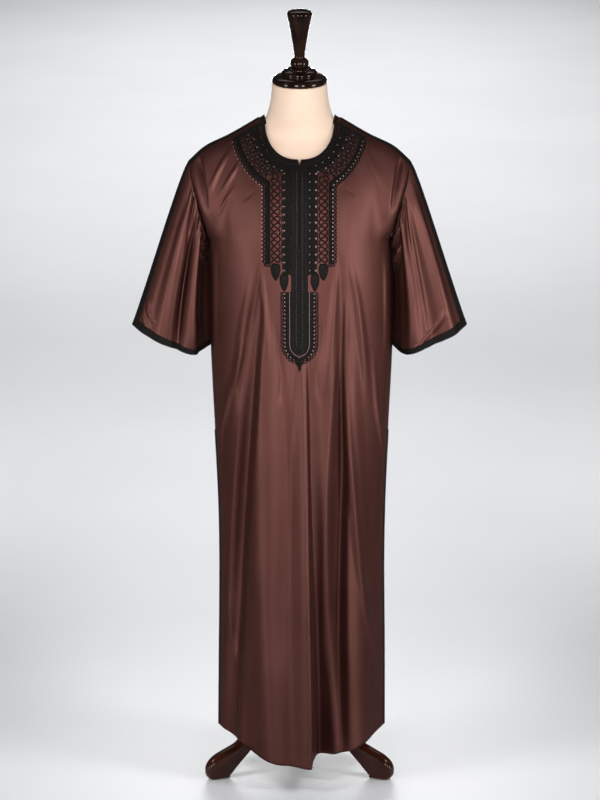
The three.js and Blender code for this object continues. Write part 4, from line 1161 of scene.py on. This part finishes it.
def band_strip(inner_start, outer_start, end_z, hand, high, dome, across=5, gaps=False):
    """A band between two rows. gaps notches its outer side with pointed openings."""
    a, _ = row_points(inner_start, end_z, hand)
    b, at = row_points(outer_start, end_z, hand)
    if gaps:
        from_gap = np.abs(at % GAP["pitch"] - GAP["pitch"] / 2)
        drawn = GAP["depth"] * (1 - np.minimum(1, from_gap / GAP["half"]))
        b = b + unit(a - b) * drawn[:, None]
    if hand == LEFT:
        a, b = b, a
    return strip(a, b, high, across, dome)


def yoke_border(hand):
    """The straight border along the yoke's upper edge."""
    edges = [resample(np.array(line, float), 1.6) for line in BORDER_LINES]
    count = min(len(edge) for edge in edges)
    lower, upper = (edge[:count] * (hand, 1) for edge in edges)
    return strip(upper, lower, 1.2, 4, 0.5) if hand == RIGHT else strip(lower, upper, 1.2, 4, 0.5)


def yoke(hand):
    black, maroon, light = [], [], []
    # Dark braid beside the placket, with pointed gaps that show the satin; the light triangles laid in them
    # are a painted highlight on that satin
    black.append(band_strip(BRAID["inner"], BRAID["outer"], BAND_END_Z + 1, hand, 1.0, 0.2, 10, gaps=True))
    braid = row_path(BRAID["middle"], BAND_END_Z + 2, hand)
    length = path_length(braid)
    at = np.linspace(1, length - 1, int(length / 0.9))
    for phase in (0, math.pi):
        aside = BRAID["swing"] * np.sin((at / GAP["pitch"] - 0.25) * 2 * math.pi + phase)
        black.append(cord(along(braid, at, aside), 0.85, lift=1.7))
    black.append(cord(row_path(BRAID["edge"], BAND_END_Z, hand), 0.9, lift=1.5))
    for k in range(int(length / GAP["pitch"])):
        at = (k + 0.5) * GAP["pitch"]
        light.append(bead(spot(braid, at, -4.6), 1.7, lift=1.3))
        black.append(bead(spot(braid, at), 2.2, 0.6, lift=1.0))
        tip, root = spot(braid, at, 4.6), spot(braid, at, 8.2)
        toward = math.atan2(tip[1] - root[1], root[0] - tip[0])
        # A flat light triangle in the gap: painted highlight standing in for the lit satin there
        light.append(bead(root, 3.1, 0.25, 2, 3, lift=0.5, start=toward))
    maroon.append(cord(row_path(SERPENTINE["inner_cord"], ROWS_END_Z, hand), 0.9))
    # Serpentine of the column, and finer windings round the neck
    centre = row_path(SERPENTINE["centre"], ROWS_END_Z + 1, hand, 21)
    corner = corner_at(centre, SERPENTINE["centre"])
    winding = meander(centre, 1, corner, SERPENTINE["pitch"], SERPENTINE["half"])
    maroon.append(cord(winding, SERPENTINE["radius"], step=1.0))
    pitch = WINDINGS["pitch"]
    for start, shift in WINDINGS["rows"]:
        row = row_path(start, ROWS_END_Z, hand, 15)
        begin = corner_at(row, start)
        end = path_length(row)
        winding = meander(row, begin + shift, end - 1, pitch, WINDINGS["half"], WINDINGS["bulge"])
        black.append(cord(winding, 1.0, step=1.0))
        for k in range(int((end - begin) / pitch) - 1):
            black.append(bead(spot(row, begin + shift + (k + 0.5) * pitch), 2.2, 0.5, 3, lift=0.4))
            place = spot(row, begin + (k + 1.0) * pitch, 2.5 if k % 2 else -3)
            light.append(bead(place, 0.85, 0.6, 3, 6, lift=1.3))
    row = row_path(WINDINGS["between"], ROWS_END_Z, hand, 15)
    at = np.linspace(corner_at(row, WINDINGS["between"]), path_length(row), 90)
    black.append(cord(along(row, at), 0.9))
    # Cords, stitches and the loops of the outer edge
    black.append(band_strip(OUTER_BAND["inner"], OUTER_BAND["outer"], ROWS_END_Z, hand, 0.8, 0.2))
    for start, radius in OUTER_BAND["cords"]:
        black.append(cord(row_path(start, ROWS_END_Z, hand), radius, lift=1.0))
    loops = row_path(LOOP["row"], ROWS_END_Z + 1, hand, 15)
    for k in range(int(path_length(loops) / LOOP["pitch"])):
        at = (k + 0.5) * LOOP["pitch"]
        black.append(ring(spot(loops, at), LOOP["radius"], LOOP["cord"]))
        size = 1.6 if at < corner else 1.15
        light.append(bead(spot(loops, at + LOOP["pitch"] / 2, -4.5), size, lift=0.9))
    for start, below in CORNER_LOOPS:
        black.append(ring((hand * (COLUMN_START + start), ROWS_END_Z - below), LOOP["radius"], LOOP["cord"]))
    black.append(yoke_border(hand))
    return black, maroon, light


def leaf(hand, drop):
    """A leaf-shaped drop, domed, with a cord round it."""
    down = np.concatenate([np.linspace(0, 1, 15) ** 1.2, np.linspace(1, 0, 15)[1:-1] ** 1.2])
    wide = 2.35 * drop["half"] * (down + 0.06) ** 0.5 * (1.0001 - down) ** 0.85
    wide[15:] *= -1
    z = drop["top_z"] + 4 - (drop["length"] + 4) * down
    edge = np.stack([hand * drop["x"] + wide * hand, z], axis=1)
    if hand == LEFT:
        edge = edge[::-1]
    centre = edge.mean(axis=0)
    levels = [(1.0, TRIM_LOW), (1.0, 0.9), (0.82, 1.9), (0.55, 2.5), (0.25, 2.8)]
    rings = [on_front(centre + (edge - centre) * size, lift)[0] for size, lift in levels]
    points = np.concatenate(rings + [on_front(centre[None, :], 2.9)[0]])
    around = np.arange(len(edge))
    top = fan((len(levels) - 1) * len(edge) + around, len(points) - 1)
    dome = points, [grid_faces(len(levels), len(edge), closed=True), top, around[None, ::-1]]
    return [dome, cord(np.concatenate([edge, edge[:1]]), 0.8, closed=True)]


all_light = placket_stitches()
for word, hand in SIDES.items():
    black, maroon, light = yoke(hand)
    make(f"{word}_yoke", joined(black), BLACK, [f"{word}_yoke"])
    make(f"{word}_serpentine", joined(maroon), MAROON)
    all_light += light
    for label, drop in zip(("outer", "inner"), DROPS):
        make(f"{word}_{label}_drop", joined(leaf(hand, drop)), BLACK, [f"{word}_{label}_drop"])


# Pointed U round the lower end of the placket


def u_path(half, point_z, round_z=U_ROUND_Z, top_z=U_TOP_Z):
    """A line down the left side, round the point and up the right side."""
    angle = np.linspace(0, math.pi / 2 * 0.86, 24)
    quarter = np.stack([half * np.cos(angle), round_z - (round_z - point_z) * np.sin(angle)], axis=1)
    right = np.concatenate([[[half, top_z]], quarter, [[0, point_z - 3]]])
    left = (right * np.array([-1, 1]))[::-1][1:]
    path = resample(np.concatenate([right, left]), 1.0)
    pad = 3
    return np.concatenate([path[:pad], averaged(path, 2 * pad + 1), path[-pad:]])


def u_strip(inner, outer, high, across, dome):
    edges = [along(path, np.linspace(0, path_length(path), 150)) for path in (inner, outer)]
    return strip(*edges, high, across, dome)


def spots(path, number):
    """Places spread evenly along a path."""
    length = path_length(path)
    return [spot(path, (k + 0.5) * length / number) for k in range(number)]


def placket_end():
    black, maroon, light = [], [], []
    inner_edge, inner, outer = u_path(20.6, 948.4), u_path(21.6, 947.2), u_path(28.4, 940.6)
    black.append(u_strip(u_path(17.6, 951.4), inner_edge, 1.6, 3, 0.3))
    maroon.append(u_strip(inner, outer, 1.3, 5, 0.5))
    black.append(u_strip(outer, u_path(33.4, 936.6), 0.8, 3, 0.2))
    black.append(cord(u_path(29.4, 939.6), 0.9, lift=1.2))
    black.append(cord(u_path(25.0, 944), 0.8, lift=1.9))
    loops, dots = u_path(36.8, 934), u_path(31.4, 937)
    for place in spots(loops, int(path_length(loops) / LOOP["pitch"])):
        black.append(ring(place, LOOP["radius"], 1.25))
    for place in spots(dots, int(path_length(dots) / LOOP["pitch"])):
        light.append(bead(place, 1.5, lift=0.9))
    # Light stitched lines
    for path, size, pitch in ((u_path(21.0, 948), 0.8, 2.1), (u_path(6.8, 966, 974, 1170), 0.5, 3.2)):
        for k in range(int(path_length(path) / pitch)):
            light.append(bead(spot(path, (k + 0.5) * pitch), size, 0.7, 3, 6, lift=2.0))
    # Knot and drop at the point
    black.append(ring((0, 931), 4.6, 1.9, count=18))
    for z, size, flatness, lift in ((931, 3.4, 0.7, 1.0), (922, 3.6, 0.6, 0.3), (917.5, 2.4, 0.6, 0.3)):
        black.append(bead((0, z), size, flatness, 5, 12, lift=lift))
    return black, maroon, light


black, maroon, light = placket_end()
make("placket_end", joined(black), BLACK, ["placket_end"])
make("placket_end_braid", joined(maroon), MAROON)
all_light += light
# All light stitches and dots, with the triangles of painted highlight
make("light_stitches_and_painted_highlights", joined(all_light), STITCH_AND_HIGHLIGHT_PAINT)


# Braids on the shoulders, sleeves, cuffs and side seams

SHOULDER_PICOTS = {"pitch": 4.2, "radius": 1.5, "lift": 0.6}
CUFF_PICOTS = {"pitch": 4.6, "radius": 2.0, "lift": 0.2}
SIDE_PICOTS = {"pitch": 4.6, "radius": 1.5, "lift": 1.0}


BRAID_ACROSS = np.linspace(-1, 1, 13)
BRAID_RIBS = 1.3 + 0.55 * np.abs(np.sin(BRAID_ACROSS * math.pi * 1.5))
BRAID_PROFILE = BRAID_RIBS - 0.5 * (np.abs(BRAID_ACROSS) > 0.99)


def band_reach(side, u):
    curve = upper_curve(side, np.atleast_1d(u))
    return BRAID_HALF / (3 * np.linalg.norm(curve[3] - curve[2], axis=-1))


def shoulder_braid(hand):
    """Over the shoulder seam from the neck band, and on down the sleeve's top line to the cuff braid."""
    u = np.linspace(NECK_BAND_U - 0.012, 1, 60)
    shoulder = np.zeros((len(u), len(BRAID_ACROSS), 3))
    for k, a in enumerate(BRAID_ACROSS):
        side = FRONT if a <= 0 else BACK
        t = 2 - abs(a) * band_reach(side, u)
        shoulder[:, k] = panel_point(side, hand * u, np.minimum(t, 2))
    share = np.linspace(0, 1 - CUFF_BRAID / SLEEVE_LENGTH, 130)[1:]
    reach = {side: float(band_reach(side, 1.0)[0]) for side in (FRONT, BACK)}
    around = np.where(BRAID_ACROSS <= 0, -BRAID_ACROSS * reach[FRONT], -BRAID_ACROSS * reach[BACK])
    around = around[None, :] + reach[FRONT] * 0.3 * ease(0, 0.25, share)[:, None]
    places = np.concatenate([shoulder, sleeve_point(hand, around, share[:, None])])
    normals = grid_normals(places)
    if normals[30, 6, 2] < 0:
        normals = -normals
    shapes = [ribbon(places, normals, TRIM_LOW, BRAID_PROFILE, flip=hand == RIGHT)]
    for edge in (0, -1):
        shapes += picots(places[:, edge], normals[:, edge], **SHOULDER_PICOTS)
    return joined(shapes)


def picots(line, normals, pitch, radius, lift):
    """Small picot loops along a line in space."""
    marks = distances(line)
    count = int(marks[-1] / pitch)
    at = (np.arange(count) + 0.5) * marks[-1] / count
    places = between(at, marks, line)
    ups = unit(between(at, marks, normals))
    tangents = unit(np.gradient(places, axis=0))
    asides = unit(np.cross(tangents, ups))
    sides, rings, flatness = 8, 3, 0.6
    rows = 2 * rings - 1
    around = np.arange(sides)
    faces = [grid_faces(rows, sides, closed=True), fan(around[::-1], rows * sides),
             fan((rows - 1) * sides + around, rows * sides + 1)]
    shapes = []
    for place, up, tangent, aside in zip(places, ups, tangents, asides):
        points = []
        for k in range(-rings + 1, rings):
            tilt = k / rings * math.pi / 2
            for m in range(sides):
                turn = m / sides * 2 * math.pi
                out = (tangent * math.cos(turn) + aside * math.sin(turn)) * radius * math.cos(tilt)
                points.append(place + up * lift + out + up * radius * flatness * math.sin(tilt))
        points += [place + up * (lift - radius * flatness), place + up * (lift + radius * flatness)]
        shapes.append((np.array(points), faces))
    return shapes


for word, hand in SIDES.items():
    make(f"{word}_shoulder_braid", shoulder_braid(hand), BLACK, [f"{word}_shoulder_braid"])


def cuff_braid(hand):
    around = np.linspace(-1, 1, 161)[:, None]
    across = np.linspace(0, 1, 8)
    share = np.linspace(1 - CUFF_BRAID / SLEEVE_LENGTH, 1.0, len(across))[None, :]
    at = np.broadcast_arrays(around, share)
    places = sleeve_point(hand, *at)
    normals = surface_normal(lambda a, b: sleeve_point(hand, a, b), *at, -9, 9, 1)
    places[-1] = places[0]
    normals[-1] = normals[0]
    if hand == LEFT:
        normals = -normals
    profile = 1.3 + 0.5 * np.abs(np.sin(across * math.pi * 2))
    band = ribbon(places, normals, TRIM_LOW, profile, flip=hand == RIGHT)
    return joined([band] + picots(places[:, -1], normals[:, -1], **CUFF_PICOTS))


for word, hand in SIDES.items():
    make(f"{word}_cuff_braid", cuff_braid(hand), BLACK, [f"{word}_cuff_braid"])


def side_braid(hand):
    top = (SIDE_BRAID_TOP_Z - HEM_SIDE_Z) / (ARMPIT_Z - HEM_SIDE_Z)
    t = np.linspace(0, top, 170)
    across = np.linspace(-1, 1, 7)
    places = np.zeros((len(t), len(across), 3))
    for k, a in enumerate(across):
        side = FRONT if a <= 0 else BACK
        places[:, k] = panel_point(side, np.full_like(t, hand * (1 - abs(a) * 0.012)), t)
    outward = stack(np.full(len(t), float(hand)), 0, 0)
    normals = np.broadcast_to(outward[:, None], places.shape)
    band = ribbon(places, normals, 0.3, np.full(len(across), 1.1), flip=hand == LEFT)
    return joined([band] + picots(places[:, len(across) // 2], outward, **SIDE_PICOTS))


for word, hand in SIDES.items():
    make(f"{word}_side_braid", side_braid(hand), BLACK, [f"{word}_side_braid"])


# Stitches of the hem

HEM_STITCHES = {"first": 2.0, "long": 2.8, "pitch": 4.2, "last": 3, "radius": 0.32}


def hem_stitches(side, grid, normals, name):
    u = panel_columns(side)
    line, ups = [], []
    for k in range(1, grid.shape[1] - 1):
        column = grid[:, k]
        level = hem_z(side, u[k]) + HEM_STITCH
        i = np.searchsorted(column[: LOWER_ROWS[side], 2], level)
        share = (level - column[i - 1, 2]) / (column[i, 2] - column[i - 1, 2])
        line.append(mix(column[i - 1], column[i], share))
        ups.append(normals[i, k])
    line, ups = np.array(line), np.array(ups)
    marks = distances(line)
    shapes = []
    at = HEM_STITCHES["first"]
    while at < marks[-1] - HEM_STITCHES["last"]:
        places = at + np.array([0, 0.5, 1]) * HEM_STITCHES["long"]
        up = unit(between(places, marks, ups))
        path = between(places, marks, line) + up * np.array([-0.1, 0.3, -0.1])[:, None]
        shapes.append(tube(path, up, HEM_STITCHES["radius"], 5))
        at += HEM_STITCHES["pitch"]
    make(name, joined(shapes), SATIN)


hem_stitches(FRONT, front_grid, front_normals, "front_hem_stitches")
hem_stitches(BACK, back_grid, back_normals, "back_hem_stitches")


# Dress form


def closed_stack(grid, low_z, high_z):
    """Rings of places one above the other, closed at both ends round a point."""
    rows, sides = grid.shape[:2]
    points = np.concatenate([grid.reshape(-1, 3), [[0, 0, low_z]], [[0, 0, high_z]]])
    around = np.arange(sides)
    ends = [fan(around[::-1], rows * sides), fan((rows - 1) * sides + around, rows * sides + 1)]
    return points, [grid_faces(rows, sides, closed=True)] + ends


def torso(sides=96):
    low, narrow, full, high = 835, 850, 1345, 1525
    z = np.concatenate([np.linspace(low, narrow, 6)[:-1], np.linspace(narrow, full, 70)[:-1],
                        np.linspace(full, high, 60)])
    angle = np.arange(sides) / sides * 2 * math.pi
    columns = {name: smooth(TORSO, "z", z, name)[:, None] for name in TORSO[0]}
    cos, sin = np.cos(angle)[None, :], np.sin(angle)[None, :]
    power = 2 / columns["power"]
    x = columns["half"] * np.sign(cos) * np.abs(cos) ** power
    y = np.sign(sin) * np.abs(sin) ** power * np.where(sin > 0, columns["back"], columns["front"])
    return closed_stack(stack(x, y, z[:, None] + columns["slant"] * y), low, high)


make("torso", torso(), COVER, ["torso"])


def turned(profile, sides=72, tilt=0.0, base_z=0.0):
    """A turned solid, tilted about its base."""
    profile = np.array(profile, float)
    radius, z = profile[1:-1, :1], profile[1:-1, 1:]
    angle = np.arange(sides) / sides * 2 * math.pi
    grid = stack(radius * np.cos(angle), radius * np.sin(angle), z)
    points, faces = closed_stack(grid, profile[0, 1], profile[-1, 1])
    turn = math.atan(tilt)
    y, z = points[:, 1].copy(), points[:, 2].copy()
    points[:, 1] = y * math.cos(turn) - z * math.sin(turn)
    points[:, 2] = y * math.sin(turn) + z * math.cos(turn) + base_z
    return points, faces


for name, profile in (("neck_cap", CAP_PROFILE), ("finial", FINIAL_PROFILE)):
    make(name, turned(profile, tilt=CAP_TILT, base_z=CAP_BASE_Z), DARK_WOOD, [name])
make("pole", turned(POLE_PROFILE, 48), WOOD, ["pole"])
make("hub", turned(HUB_PROFILE, 64), WOOD, ["hub"])


def leg(azimuth):
    """The outline in layers across the leg, drawn in towards both faces to round its edges."""
    outline = np.array(LEG_OUTLINE, float)
    path = resample(np.concatenate([outline, outline[:1]]), 3.0)[:-1]
    softer = averaged(np.concatenate([path[-2:], path, path[:2]]), 5)
    on_hub_or_floor = (path[:, 0] < 40) | (path[:, 1] < 1)
    path = np.where(on_hub_or_floor[:, None], path, softer)
    path[:, 1] = np.maximum(path[:, 1], 0)
    tangent = unit(np.roll(path, -1, axis=0) - np.roll(path, 1, axis=0))
    inward = np.stack([-tangent[:, 1], tangent[:, 0]], axis=1)
    area = 0.5 * np.sum(path[:, 0] * np.roll(path[:, 1], -1) - np.roll(path[:, 0], -1) * path[:, 1])
    if area < 0:
        inward = -inward
    turn = math.radians(azimuth)
    out = np.array([math.cos(turn), math.sin(turn), 0])
    aside = np.array([-math.sin(turn), math.cos(turn), 0])
    up = np.array([0, 0, 1.0])
    layers = []
    for a in np.linspace(-math.pi / 2, math.pi / 2, 13):
        inset = LEG_BEVEL * (1 - math.cos(a))
        inset = np.where(path[:, 1] < 1, inset * 0.35, inset)[:, None]
        across = 0.0
        if a != 0:
            across = math.copysign(LEG_THICKNESS / 2 - LEG_BEVEL, a) + LEG_BEVEL * math.sin(a)
        flat = path + inward * inset
        layers.append(flat[:, :1] * out + up * np.maximum(flat[:, 1:], 0) + aside * across)
    around = np.arange(len(path))
    last = (len(layers) - 1) * len(path)
    faces = [grid_faces(len(layers), len(path), closed=True), around[None, ::-1], last + around[None, :]]
    shape = np.concatenate(layers), faces
    return turned_over(shape) if area > 0 else shape


for name, azimuth in LEG_AZIMUTHS.items():
    make(name, leg(azimuth), WOOD, [name])


# Names of the pieces that lie on the front

ON_FRONT = ["neck_band", "placket", "placket_end", "placket_end_braid", "light_stitches_and_painted_highlights"]
ON_FRONT.append("front_hem_stitches")
for word in SIDES:
    ON_FRONT += [f"{word}_yoke", f"{word}_serpentine", f"{word}_outer_drop", f"{word}_inner_drop",
                 f"{word}_shoulder_braid", f"{word}_side_braid"]


# Stage, lights and camera


def stage():
    """A floor that rises gently behind the stand, so that it fills the picture and hides nothing."""
    width, front_y, bend_y, bend, back_y, slope, steps = 6.0, -3.5, 1.3, 1.5, 15.0, 0.14, 12
    section = [(front_y, 0.0), (bend_y, 0.0)]
    for k in range(1, steps + 1):
        section.append((bend_y + bend * k / steps, slope * bend / 2 * (k / steps) ** 2))
    section.append((back_y, slope * (back_y - bend_y - bend / 2)))
    points = [(x, y, z) for y, z in section for x in (-width, width)]
    faces = [(2 * k, 2 * k + 1, 2 * k + 3, 2 * k + 2) for k in range(len(section) - 1)]
    mesh = bpy.data.meshes.new("studio")
    mesh.from_pydata(points, [], faces)
    mesh.polygons.foreach_set("use_smooth", [True] * len(mesh.polygons))
    made, tree, shader = material("studio", (0.8, 0.81, 0.83), 0.55, Specular_IOR_Level=0.3)
    soft = noise(tree, node(tree, "ShaderNodeTexCoord"), 1.5, 2).outputs["Fac"]
    ramp(tree, soft, [(0.3, (0.79, 0.8, 0.82)), (0.7, (0.82, 0.83, 0.85))], shader.inputs["Base Color"])
    mesh.materials.append(made)
    studio = bpy.data.objects.new("studio", mesh)
    bpy.context.scene.collection.objects.link(studio)


stage()


def area_light(name, place, target, size, power, spread=180):
    data = bpy.data.lights.new(name, "AREA")
    data.shape = "RECTANGLE"
    data.size, data.size_y = size
    data.energy = power
    data.spread = math.radians(spread)
    light_object = bpy.data.objects.new(name, data)
    light_object.location = place
    light_object.visible_camera = False
    direction = Vector(target) - Vector(place)
    light_object.rotation_euler = direction.to_track_quat("-Z", "Y").to_euler()
    bpy.context.scene.collection.objects.link(light_object)


area_light("key", (-0.9, -4.2, 1.7), (0, 0, 1.3), (0.8, 1.5), 7.3, spread=44)
area_light("second", (1.1, -4.2, 1.65), (0, 0, 1.3), (0.8, 1.5), 5.2, spread=44)
area_light("side_left", (-3.0, -1.9, 1.15), (0, 0, 1.05), (0.8, 1.9), 5.8, spread=55)
area_light("side_right", (3.0, -1.7, 1.15), (0, 0, 1.05), (0.8, 1.9), 8.6, spread=55)
area_light("far_floor", (0, 8.3, 6.0), (0, 8.3, 0.0), (5.0, 10.6), 240, spread=100)
area_light("middle_floor", (0, 2.6, 3.0), (0, 2.6, 0.0), (4.4, 1.6), 14, spread=70)
area_light("behind", (0, 4.0, 1.25), (0, 0, 0.95), (1.6, 1.2), 9, spread=45)
area_light("floor_left", (-1.7, -0.9, 2.6), (-0.9, -0.1, 0.0), (0.9, 0.9), 5.2, spread=64)
area_light("floor_right", (1.7, -0.9, 2.6), (0.9, -0.1, 0.0), (0.9, 0.9), 5.2, spread=64)

world = bpy.data.worlds.new("studio_air")
world.use_nodes = True
world.node_tree.nodes["Background"].inputs["Color"].default_value = (0.93, 0.96, 1, 1)
world.node_tree.nodes["Background"].inputs["Strength"].default_value = 0.055
bpy.context.scene.world = world
bpy.context.scene.view_settings.view_transform = "Standard"

CAMERA = {"place": (0.001, -6.2, 1.812), "down": 9.0, "lens": 128.25}
camera_data = bpy.data.cameras.new("camera")
camera_data.lens = CAMERA["lens"]
camera_data.sensor_width = 36
camera_data.clip_end = 60
camera = bpy.data.objects.new("camera", camera_data)
camera.location = CAMERA["place"]
camera.rotation_euler = (math.radians(90 - CAMERA["down"]), 0, 0)
bpy.context.scene.collection.objects.link(camera)
bpy.context.scene.camera = camera
